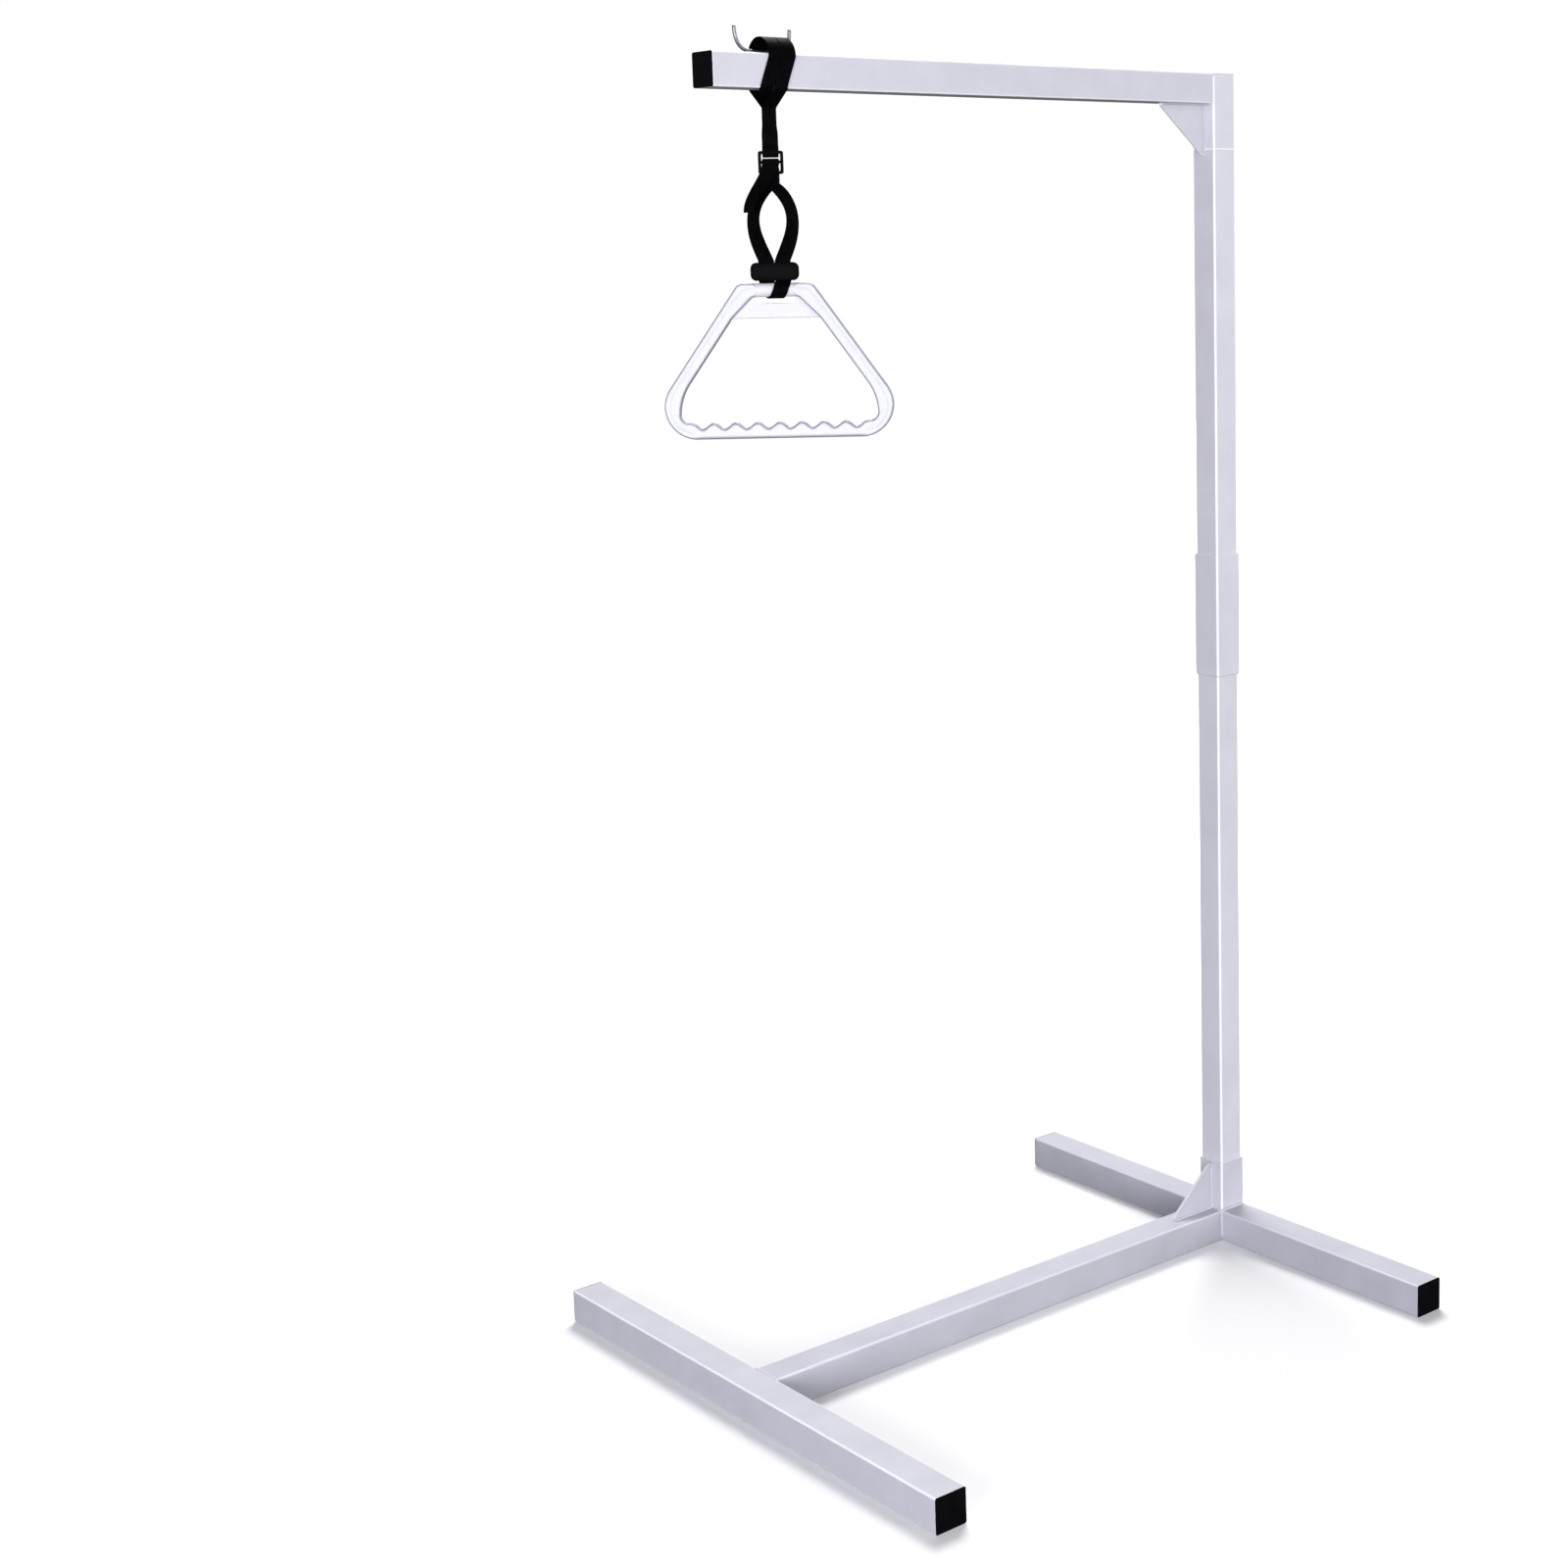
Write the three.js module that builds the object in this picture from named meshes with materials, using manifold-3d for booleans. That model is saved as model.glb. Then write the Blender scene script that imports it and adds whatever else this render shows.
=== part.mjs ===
// Free-standing bed trapeze: a welded H-shaped base of square tube, a column in two lengths
// joined by a sleeve, a boom over the bed, and a grab handle that hangs from it on webbing.
// Lengths are millimetres. +Z is up, and +X points from the bed's middle to the column.
// The origin is on the floor, in the middle of the base.

import * as THREE from 'three';
import Module from 'manifold-3d';
import { mergeVertices } from 'three/addons/utils/BufferGeometryUtils.js';

// Steel stand: overall sizes
const baseLength = 980;
const footLength = 870;
const standHeight = 1850;
const boomReach = 900;

// Square tubes: the column slides in the outer tube with a clearance on each side
const outerTube = 50;
const outerTubeRadius = 3;
const tubeWall = 2;
const slipClearance = 0.5;
const columnTube = outerTube - 2 * (tubeWall + slipClearance);
const columnTubeRadius = 3;

// Column socket on the base and sleeve at the column's middle
const socketHeight = 80;
const sleeveBottom = 930;
const sleeveHeight = 190;

// Gusset plates, with their sharp tips clipped
const gussetThickness = 5;
const gussetTipClip = 4;
const boomGussetRun = 90;
const boomGussetDrop = 76;
const baseGussetRun = 86;
const baseGussetRise = 76;

// Butt joint between the elbow's short post and the long upper column
const elbowSeamOverGussetTip = 9;

// Push-in end caps
const capLip = 1.6;
const columnCapLip = 4;
const capEdgeBevel = 0.6;
const capInsertDepth = 18;
const capInsertWall = 2;
const capInsertClearance = 0.3;

// Clamp bolts with weld nuts on the hidden side walls of the socket and the sleeve
const boltRadius = 4;
const boltHoleClearance = 0.3;
const boltHeadFlats = 13;
const boltHeadHeight = 5.3;
const boltThreadShowing = 2;
const nutFlats = 13;
const nutHeight = 6.5;
const boltTipGap = 0.3;
const sleeveBoltBelowTop = 45;
const cutOverrun = 1;

// Wire keeper on top of the boom, on each side of the webbing
const keeperWireRadius = 2.5;
const keeperSeatGap = 0.3;
const keeperRightReach = 37;
const keeperLeftReach = 50;
const keeperRightRise = 33;
const keeperLeftRise = 35;
const keeperRightBend = 14;
const keeperLeftBend = 26;

// Webbing
const webbingWidth = 21;
const webbingThickness = 2;
const webbingGap = 0.3;

// Winding on the boom: two turns side by side, with a loose arch over the wire keeper.
// The front of the neck leads to the right turn, and the left turn leads back to its rear.
const strapFromBoomEnd = 100;
const windingTurns = 2;
const windingEdgeGap = 0.6;
const windingStart = 4;
const windingFrontSlant = 14.5;
const windingBackSlant = 0;
const windingArchRise = 21;
const windingArchSpring = 4;
const windingCornerRadius = 4.8;
const neckDrop = 32;
const neckStraight = 9;

// Hanging strap, from the neck under the boom to the buckle
const strapTopLength = 7;
const strapMiddleLength = 16;
const strapTwistLength = 14;
const handleYawDegrees = -41;

// Ladder buckle
const buckleWidth = 33;
const buckleThickness = 5;
const buckleBar = 4;
const buckleRailWidth = 4;
const buckleUpperSlot = 8.5;
const buckleLowerSlot = 9.5;
const buckleCornerRadius = 2.5;
const buckleSlotRadius = 0.8;
const buckleBelowStrap = 6;
const foldLength = 10;

// The loop's two legs, which bow apart, and the free tail
const legLength = 103.5;
const legStraight = 2;
const legBow = 22;
const legSpread = 9;
const legSwellPower = 0.8;
const legLowerOffset = 11;
const legTwistDegrees = 48;
const tailSwingOut = 30;
const tailDrop = 62;
const tailForward = 9;
const tailTwistDegrees = 50;

// Slider that gathers the legs above the handle
const sliderWidth = 64;
const sliderHeight = 24;
const sliderThickness = 11;
const sliderCornerRadius = 8;
const sliderSlotWidth = 46;
const sliderSlotDepth = 5.4;
const sliderSlotRadius = 1;
const sliderEdgeBevel = 2;
const sliderOverBar = 12;

// Grab handle: a moulded triangle with a scalloped grip and a web plate under its top bar
const handleWidth = 304;
const handleHeight = 204;
const handleDepth = 18;
const handleEdgeBevel = 3;
const handleTopWidth = 98;
const handleArmBand = 18.5;
const handleTopRadius = 14;
const handleBottomRadius = 43;
const handleInnerTopRadius = 4;
const handleInnerBendRadius = 20;
const handleInnerSideDrop = 150;
const handleInnerSideRadius = 75;
const handleInnerBottomRadius = 11;
const recessTopHalf = 29;
const recessTopDrop = 16;
const gripThickness = 14.4;
const gripCrest = 7.6;
const gripValleys = 8;
const gripPitch = 29.3;
const handleWebDrop = 45.7;
const handleWebThickness = 5;
const strapSeatHalfWidth = 25.5;
const strapSeatDepth = 8;
const seatBarMerge = 3;

// Places worked out from the sizes above
const footMiddleX = baseLength / 2 - outerTube / 2;
const socketFrontX = footMiddleX - outerTube / 2;
const columnFrontX = footMiddleX - columnTube / 2;
const boomBottom = standHeight - columnTube;
const boomMiddleZ = standHeight - columnTube / 2;
const boomEndX = columnFrontX - boomReach;
const strapX = boomEndX + strapFromBoomEnd;
const sleeveTop = sleeveBottom + sleeveHeight;
const columnSplit = sleeveBottom + sleeveHeight / 2;
const elbowSeam = boomBottom - boomGussetDrop + elbowSeamOverGussetTip;
const windingOffset = webbingGap + webbingThickness / 2;
const windingPitch = -(webbingWidth + windingEdgeGap);
const plyOffset = (webbingThickness + webbingGap) / 2;
const strapThickness = 2 * webbingThickness + webbingGap;
const neckEnd = boomBottom - neckDrop;
const sideHingeZ = neckEnd - webbingGap - strapThickness / 2;
const strapTopEnd = sideHingeZ - strapTopLength;
const alongHingeZ = strapTopEnd - webbingGap - webbingWidth / 2;
const strapMiddleEnd = strapTopEnd - webbingGap - strapMiddleLength;
const strapLowerTop = strapMiddleEnd - webbingGap;
const buckleTop = strapLowerTop - strapTwistLength - buckleBelowStrap;
const buckleHeight = 3 * buckleBar + buckleUpperSlot + buckleLowerSlot;
const topBarBottom = buckleTop - buckleBar;
const middleBarTop = topBarBottom - buckleUpperSlot;
const middleBarBottom = middleBarTop - buckleBar;
const bottomBarTop = middleBarBottom - buckleLowerSlot;
const buckleBottom = bottomBarTop - buckleBar;
const barWrapRadius = buckleThickness / 2 + webbingGap + webbingThickness / 2;
const outerLegForward = barWrapRadius + webbingThickness + webbingGap;
const tailAboveBarZ = middleBarTop + webbingGap + webbingThickness / 2;
const foldEnd = buckleBottom - foldLength;
const legTop = foldEnd - webbingGap;
const legBottom = legTop - legLength;
const seatBarRadius = handleDepth / 2;
const sliderTop = legBottom;
const handleBarZ = sliderTop - sliderHeight - sliderOverBar;
const loopRadius = seatBarRadius + webbingGap + webbingThickness / 2;
const handleYaw = THREE.MathUtils.degToRad(handleYawDegrees);

// Finishes
const finishes = {
  paint: { color: 0xdcdbe6, roughness: 0.42, metalness: 0.1 },
  blackPlastic: { color: 0x111113, roughness: 0.5, metalness: 0 },
  greyPlastic: { color: 0xc9c4cc, roughness: 0.5, metalness: 0 },
  zinc: { color: 0xb9bcc0, roughness: 0.35, metalness: 0.9 },
  wire: { color: 0x8f9094, roughness: 0.35, metalness: 0.7 },
  webbing: { color: 0x121214, roughness: 0.85, metalness: 0 },
  whitePlastic: { color: 0xf0f0f6, roughness: 0.35, metalness: 0 },
};

const wasm = await Module();
wasm.setup();

// Boolean helpers: a closed geometry becomes a solid, and a solid becomes a geometry again
function solidOf(geometry) {
  const bare = geometry.clone();
  bare.deleteAttribute('normal');
  bare.deleteAttribute('uv');
  const merged = mergeVertices(bare);
  const vertProperties = new Float32Array(merged.attributes.position.array);
  const triVerts = new Uint32Array(merged.index.array);
  return new wasm.Manifold(new wasm.Mesh({ numProp: 3, vertProperties, triVerts }));
}

function geometryOf(solid) {
  const mesh = solid.getMesh();
  const geometry = new THREE.BufferGeometry();
  geometry.setAttribute('position', new THREE.BufferAttribute(mesh.vertProperties, 3));
  geometry.setIndex(new THREE.BufferAttribute(mesh.triVerts, 1));
  geometry.computeVertexNormals();
  return geometry;
}

// A named mesh with its own material, added to a group
function addPiece(group, name, geometry, finish) {
  const mesh = new THREE.Mesh(geometry, new THREE.MeshStandardMaterial(finishes[finish]));
  mesh.name = name;
  group.add(mesh);
  return mesh;
}

// Closed path whose corners are rounded by true arcs, each tangent to both of its edges
function roundedPath(path, corners) {
  const count = corners.length;
  corners.forEach(([x, y, radius], index) => {
    const here = new THREE.Vector2(x, y);
    const before = new THREE.Vector2(...corners[(index + count - 1) % count]).sub(here).normalize();
    const after = new THREE.Vector2(...corners[(index + 1) % count]).sub(here).normalize();
    const half = Math.acos(THREE.MathUtils.clamp(before.dot(after), -1, 1)) / 2;
    const middle = before.clone().add(after).normalize();
    const centre = here.clone().addScaledVector(middle, radius / Math.sin(half));
    const start = here.clone().addScaledVector(before, radius / Math.tan(half));
    const end = here.clone().addScaledVector(after, radius / Math.tan(half));
    if (index === 0) {
      path.moveTo(start.x, start.y);
    } else {
      path.lineTo(start.x, start.y);
    }
    const startAngle = Math.atan2(start.y - centre.y, start.x - centre.x);
    const endAngle = Math.atan2(end.y - centre.y, end.x - centre.x);
    const clockwise = before.x * after.y - before.y * after.x > 0;
    path.absarc(centre.x, centre.y, radius, startAngle, endAngle, clockwise);
  });
  path.closePath();
  return path;
}

function roundedRectangle(path, width, height, radius) {
  return roundedPath(path, [
    [-width / 2, -height / 2, radius],
    [width / 2, -height / 2, radius],
    [width / 2, height / 2, radius],
    [-width / 2, height / 2, radius],
  ]);
}

// Hollow square tube along +Z, starting at the origin
function tubeGeometry(size, radius, length) {
  const section = roundedRectangle(new THREE.Shape(), size, size, radius);
  const bore = size - 2 * tubeWall;
  section.holes.push(roundedRectangle(new THREE.Path(), bore, bore, radius - tubeWall));
  return new THREE.ExtrudeGeometry(section, { depth: length, bevelEnabled: false, curveSegments: 4 });
}

// Square tube whose +Y wall has a bolt hole at a height
function drilledTubeGeometry(length, holeHeight) {
  const tube = solidOf(tubeGeometry(outerTube, outerTubeRadius, length));
  const drillLength = tubeWall + 2 * cutOverrun;
  const drill = new THREE.CylinderGeometry(
    boltRadius + boltHoleClearance,
    boltRadius + boltHoleClearance,
    drillLength,
    24,
  );
  drill.translate(0, outerTube / 2 - tubeWall / 2, holeHeight);
  return geometryOf(tube.subtract(solidOf(drill)));
}

// Push-in cap along +Z: the lip lies over the tube's end at z = 0, and the insert is in the tube
function capGeometry(size, radius, lip) {
  const lipShape = roundedRectangle(new THREE.Shape(), size, size, radius);
  const lipPlate = new THREE.ExtrudeGeometry(lipShape, {
    depth: lip - 2 * capEdgeBevel,
    bevelThickness: capEdgeBevel,
    bevelSize: capEdgeBevel,
    bevelOffset: -capEdgeBevel,
    bevelSegments: 1,
    curveSegments: 4,
  });
  lipPlate.translate(0, 0, capEdgeBevel);
  const outer = size - 2 * (tubeWall + capInsertClearance);
  const inner = outer - 2 * capInsertWall;
  const insertRadius = radius - tubeWall;
  const ringShape = roundedRectangle(new THREE.Shape(), outer, outer, insertRadius);
  ringShape.holes.push(roundedRectangle(new THREE.Path(), inner, inner, insertRadius));
  const ring = new THREE.ExtrudeGeometry(ringShape, {
    depth: capInsertDepth + lip / 2,
    bevelEnabled: false,
    curveSegments: 4,
  });
  ring.translate(0, 0, -capInsertDepth);
  return geometryOf(solidOf(lipPlate).add(solidOf(ring)));
}

// Right-angled gusset plate in the XZ plane with clipped tips, its corner at the origin
function gussetGeometry(run, rise) {
  const clipX = Math.sign(run) * gussetTipClip;
  const clipZ = Math.sign(rise) * gussetTipClip;
  const plate = new THREE.Shape();
  plate.moveTo(0, 0);
  plate.lineTo(run, 0);
  plate.lineTo(run, clipZ);
  plate.lineTo(clipX, rise);
  plate.lineTo(0, rise);
  plate.closePath();
  const geometry = new THREE.ExtrudeGeometry(plate, { depth: gussetThickness, bevelEnabled: false });
  geometry.rotateX(Math.PI / 2);
  geometry.translate(0, gussetThickness / 2, 0);
  return geometry;
}

// Hexagonal bar along +Y between two places
function hexBar(flats, from, to) {
  const cornerRadius = flats / 2 / Math.cos(Math.PI / 6);
  const bar = new THREE.CylinderGeometry(cornerRadius, cornerRadius, to - from, 6);
  bar.translate(0, (from + to) / 2, 0);
  return bar;
}

function roundBar(radius, from, to) {
  const bar = new THREE.CylinderGeometry(radius, radius, to - from, 24);
  bar.translate(0, (from + to) / 2, 0);
  return bar;
}

// Weld nut on a +Y wall and the bolt that passes it and ends just short of the column
function addClampBolt(group, name, z) {
  const wallFace = outerTube / 2;
  const nutFace = wallFace + nutHeight;
  const headFace = nutFace + boltThreadShowing;
  const bore = roundBar(boltRadius + boltHoleClearance, wallFace - cutOverrun, nutFace + cutOverrun);
  const nut = solidOf(hexBar(nutFlats, wallFace, nutFace)).subtract(solidOf(bore));
  const shank = roundBar(boltRadius, columnTube / 2 + boltTipGap, headFace + boltHeadHeight / 2);
  const head = hexBar(boltHeadFlats, headFace, headFace + boltHeadHeight);
  const bolt = solidOf(shank).add(solidOf(head));
  const nutMesh = addPiece(group, `${name}_weld_nut`, geometryOf(nut), 'paint');
  const boltMesh = addPiece(group, `${name}_clamp_bolt`, geometryOf(bolt), 'zinc');
  nutMesh.position.set(footMiddleX, 0, z);
  boltMesh.position.set(footMiddleX, 0, z);
}

// Strip of webbing along stations. Each station has its centre and the unit direction across
// the strip. The strip's thickness is square to that direction and to the path.
function webbingGeometry(stations, thickness = webbingThickness) {
  const positions = [];
  const last = stations.length - 1;
  stations.forEach(({ centre, across }, index) => {
    const ahead = stations[Math.min(index + 1, last)].centre;
    const behind = stations[Math.max(index - 1, 0)].centre;
    const along = ahead.clone().sub(behind).normalize();
    const normal = along.clone().cross(across).normalize();
    for (const [side, face] of [[-1, -1], [1, -1], [1, 1], [-1, 1]]) {
      const corner = centre.clone();
      corner.addScaledVector(across, (side * webbingWidth) / 2);
      corner.addScaledVector(normal, (face * thickness) / 2);
      positions.push(corner.x, corner.y, corner.z);
    }
  });
  const index = [];
  for (let ring = 0; ring < last; ring += 1) {
    for (let corner = 0; corner < 4; corner += 1) {
      const a = 4 * ring + corner;
      const b = 4 * ring + ((corner + 1) % 4);
      index.push(a, b, b + 4, a, b + 4, a + 4);
    }
  }
  index.push(0, 2, 1, 0, 3, 2);
  const end = 4 * last;
  index.push(end, end + 1, end + 2, end, end + 2, end + 3);
  const geometry = new THREE.BufferGeometry();
  geometry.setAttribute('position', new THREE.Float32BufferAttribute(positions, 3));
  geometry.setIndex(index);
  geometry.computeVertexNormals();
  return geometry;
}

// Places along a line of [y, z] corners, each corner rounded with its own radius
function bentLine(corners, stepsPerCorner = 8) {
  const places = [];
  corners.forEach(([y, z, radius = 0], index) => {
    const here = new THREE.Vector2(y, z);
    if (index === 0 || index === corners.length - 1 || radius === 0) {
      places.push(here);
      return;
    }
    const before = new THREE.Vector2(...corners[index - 1]).sub(here).normalize();
    const after = new THREE.Vector2(...corners[index + 1]).sub(here).normalize();
    const half = Math.acos(THREE.MathUtils.clamp(before.dot(after), -1, 1)) / 2;
    const middle = before.clone().add(after).normalize();
    const centre = here.clone().addScaledVector(middle, radius / Math.sin(half));
    const turn = Math.PI - 2 * half;
    const sign = Math.sign(before.y * after.x - before.x * after.y);
    const start = here.clone().addScaledVector(before, radius / Math.tan(half)).sub(centre);
    for (let step = 0; step <= stepsPerCorner; step += 1) {
      const swept = (sign * turn * step) / stepsPerCorner;
      const arm = start.clone().rotateAround(new THREE.Vector2(0, 0), swept);
      places.push(arm.add(centre));
    }
  });
  return places;
}

// Base: two cross feet, the rail between them, the column socket and its gusset
function buildBase() {
  const base = new THREE.Group();
  for (const [name, x] of [['front_foot', -footMiddleX], ['rear_foot', footMiddleX]]) {
    const foot = addPiece(base, name, tubeGeometry(outerTube, outerTubeRadius, footLength), 'paint');
    foot.rotation.x = -Math.PI / 2;
    foot.position.set(x, -footLength / 2, outerTube / 2);
    const cap = capGeometry(outerTube, outerTubeRadius, capLip);
    const left = addPiece(base, `${name}_cap_left`, cap, 'blackPlastic');
    left.rotation.x = -Math.PI / 2;
    left.position.set(x, footLength / 2, outerTube / 2);
    const right = addPiece(base, `${name}_cap_right`, cap.clone(), 'blackPlastic');
    right.rotation.x = Math.PI / 2;
    right.position.set(x, -footLength / 2, outerTube / 2);
  }
  const railLength = baseLength - 2 * outerTube;
  const rail = addPiece(base, 'base_rail', tubeGeometry(outerTube, outerTubeRadius, railLength), 'paint');
  rail.rotation.y = Math.PI / 2;
  rail.position.set(-railLength / 2, 0, outerTube / 2);
  const socketTube = drilledTubeGeometry(socketHeight, socketHeight / 2);
  const socket = addPiece(base, 'column_socket', socketTube, 'paint');
  socket.position.set(footMiddleX, 0, outerTube);
  const gusset = addPiece(base, 'base_gusset', gussetGeometry(-baseGussetRun, baseGussetRise), 'paint');
  gusset.position.set(socketFrontX, 0, outerTube);
  addClampBolt(base, 'socket', outerTube + socketHeight / 2);
  return base;
}

// Lower column with the sleeve welded to its upper end
function buildLowerColumn() {
  const lower = new THREE.Group();
  const tube = tubeGeometry(columnTube, columnTubeRadius, columnSplit - outerTube);
  addPiece(lower, 'lower_column', tube, 'paint').position.set(footMiddleX, 0, outerTube);
  const boltHeight = sleeveHeight - sleeveBoltBelowTop;
  const sleeve = drilledTubeGeometry(sleeveHeight, boltHeight);
  addPiece(lower, 'column_sleeve', sleeve, 'paint').position.set(footMiddleX, 0, sleeveBottom);
  addClampBolt(lower, 'sleeve', sleeveBottom + boltHeight);
  return lower;
}

// Wire that keeps the webbing in its place on the boom: two horns and a straight part between
function keeperGeometry() {
  const seat = keeperWireRadius + keeperSeatGap;
  const leftTip = new THREE.Vector3(-keeperLeftReach, 0, keeperLeftRise);
  const leftCorner = new THREE.Vector3(-keeperLeftReach, 0, seat);
  const leftFoot = new THREE.Vector3(keeperLeftBend - keeperLeftReach, 0, seat);
  const rightFoot = new THREE.Vector3(keeperRightReach - keeperRightBend, 0, seat);
  const rightCorner = new THREE.Vector3(keeperRightReach, 0, seat);
  const rightTip = new THREE.Vector3(keeperRightReach, 0, keeperRightRise);
  const wirePath = new THREE.CurvePath();
  wirePath.add(new THREE.QuadraticBezierCurve3(leftTip, leftCorner, leftFoot));
  wirePath.add(new THREE.LineCurve3(leftFoot, rightFoot));
  wirePath.add(new THREE.QuadraticBezierCurve3(rightFoot, rightCorner, rightTip));
  const wire = new THREE.Shape();
  wire.absarc(0, 0, keeperWireRadius, 0, 2 * Math.PI);
  const options = { steps: 36, extrudePath: wirePath, bevelEnabled: false, curveSegments: 5 };
  return new THREE.ExtrudeGeometry(wire, options);
}

// Webbing winding: one strip from the neck, round the boom and back to the neck.
// Its middle line is drawn in the YZ plane, and its place along the boom comes from the turn.
function windingStations() {
  const half = columnTube / 2 + windingOffset;
  const top = columnTube / 2;
  const spring = top - windingArchSpring;
  const across = new THREE.Vector3(1, 0, 0);
  const stations = [];
  const put = (x, y, z) => stations.push({ centre: new THREE.Vector3(x, y, z), across });
  const neckZ = -columnTube / 2 - neckDrop;
  const bendZ = neckZ + neckStraight;
  const cornerCut = windingCornerRadius * (1 - Math.SQRT1_2);
  const quarter = (yCentre, zCentre, fromAngle, x) => {
    for (let step = 1; step < 4; step += 1) {
      const angle = fromAngle - (step * Math.PI) / 8;
      const y = yCentre + windingCornerRadius * Math.cos(angle);
      put(x, y, zCentre + windingCornerRadius * Math.sin(angle));
    }
  };
  put(0, -plyOffset, neckZ);
  put(0, -plyOffset, bendZ);
  put(windingStart, -half, cornerCut - half);
  for (let turn = 0; turn < windingTurns; turn += 1) {
    const frontLow = windingStart + turn * windingPitch;
    const frontHigh = frontLow + windingFrontSlant;
    const backLow = frontHigh + windingBackSlant;
    put(frontLow, -half, windingCornerRadius - half);
    put(frontHigh, -half, spring);
    for (let step = 1; step < 12; step += 1) {
      const angle = (step * Math.PI) / 12;
      const z = spring + (windingArchRise + windingArchSpring) * Math.sin(angle);
      put(frontHigh, -half * Math.cos(angle), z);
    }
    put(frontHigh, half, spring);
    put(backLow, half, windingCornerRadius - half);
    if (turn < windingTurns - 1) {
      const nextLow = frontLow + windingPitch;
      quarter(half - windingCornerRadius, windingCornerRadius - half, 0, backLow);
      put(backLow, half - windingCornerRadius, -half);
      put(nextLow, windingCornerRadius - half, -half);
      quarter(windingCornerRadius - half, windingCornerRadius - half, -Math.PI / 2, nextLow);
    } else {
      put(backLow, half, cornerCut - half);
    }
  }
  put(0, plyOffset, bendZ);
  put(0, plyOffset, neckZ);
  return stations;
}

// Least gap between turns that lie side by side, measured on the strip's own edges
function leastTurnGap(stations) {
  let least = Infinity;
  stations.forEach((one, index) => {
    stations.slice(index + 1).forEach((other) => {
      const aside = Math.hypot(one.centre.y - other.centre.y, one.centre.z - other.centre.z);
      const apart = Math.abs(one.centre.x - other.centre.x) - webbingWidth;
      if (aside < webbingThickness && apart > -webbingWidth / 2) {
        least = Math.min(least, apart);
      }
    });
  });
  return least;
}

// Mast: upper column, elbow post, boom, gusset, caps, wire keeper and the winding
function buildMast() {
  const mast = new THREE.Group();
  const column = tubeGeometry(columnTube, columnTubeRadius, elbowSeam - columnSplit);
  addPiece(mast, 'upper_column', column, 'paint').position.set(footMiddleX, 0, columnSplit);
  const postLength = standHeight - columnCapLip - elbowSeam;
  const post = tubeGeometry(columnTube, columnTubeRadius, postLength);
  addPiece(mast, 'elbow_post', post, 'paint').position.set(footMiddleX, 0, elbowSeam);
  const columnCap = capGeometry(columnTube, columnTubeRadius, columnCapLip);
  addPiece(mast, 'column_cap', columnCap, 'greyPlastic')
    .position.set(footMiddleX, 0, standHeight - columnCapLip);
  const boom = addPiece(mast, 'boom', tubeGeometry(columnTube, columnTubeRadius, boomReach), 'paint');
  boom.rotation.y = Math.PI / 2;
  boom.position.set(boomEndX, 0, boomMiddleZ);
  const boomCap = capGeometry(columnTube, columnTubeRadius, capLip);
  const boomCapMesh = addPiece(mast, 'boom_cap', boomCap, 'blackPlastic');
  boomCapMesh.rotation.y = -Math.PI / 2;
  boomCapMesh.position.set(boomEndX, 0, boomMiddleZ);
  const gusset = gussetGeometry(-boomGussetRun, -boomGussetDrop);
  addPiece(mast, 'boom_gusset', gusset, 'paint').position.set(columnFrontX, 0, boomBottom);
  addPiece(mast, 'wire_keeper', keeperGeometry(), 'wire').position.set(strapX, 0, standHeight);
  const stations = windingStations();
  console.log('least gap between turns', leastTurnGap(stations).toFixed(2), 'mm');
  addPiece(mast, 'boom_winding', webbingGeometry(stations), 'webbing')
    .position.set(strapX, 0, boomMiddleZ);
  return mast;
}

// Hanging strap: two short lengths that bend at the side hinge and at the along hinge
function buildHangingStrap() {
  const hanging = new THREE.Group();
  hanging.position.set(strapX, 0, 0);
  const side = new THREE.Shape();
  side.moveTo(-strapThickness / 2, -strapTopLength);
  side.lineTo(strapThickness / 2, -strapTopLength);
  side.absarc(0, 0, strapThickness / 2, 0, Math.PI);
  side.closePath();
  const topOptions = { depth: webbingWidth, bevelEnabled: false, curveSegments: 8 };
  const top = new THREE.ExtrudeGeometry(side, topOptions);
  top.translate(0, 0, -webbingWidth / 2);
  top.rotateX(Math.PI / 2);
  top.rotateZ(Math.PI / 2);
  addPiece(hanging, 'hanging_strap_top', top, 'webbing').position.z = sideHingeZ;
  const front = new THREE.Shape();
  front.moveTo(-webbingWidth / 2, strapMiddleEnd - alongHingeZ);
  front.lineTo(webbingWidth / 2, strapMiddleEnd - alongHingeZ);
  front.absarc(0, 0, webbingWidth / 2, 0, Math.PI);
  front.closePath();
  const middleOptions = { depth: strapThickness, bevelEnabled: false, curveSegments: 16 };
  const middle = new THREE.ExtrudeGeometry(front, middleOptions);
  middle.translate(0, 0, -strapThickness / 2);
  middle.rotateX(Math.PI / 2);
  addPiece(hanging, 'hanging_strap_middle', middle, 'webbing').position.z = alongHingeZ;
  return hanging;
}

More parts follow.
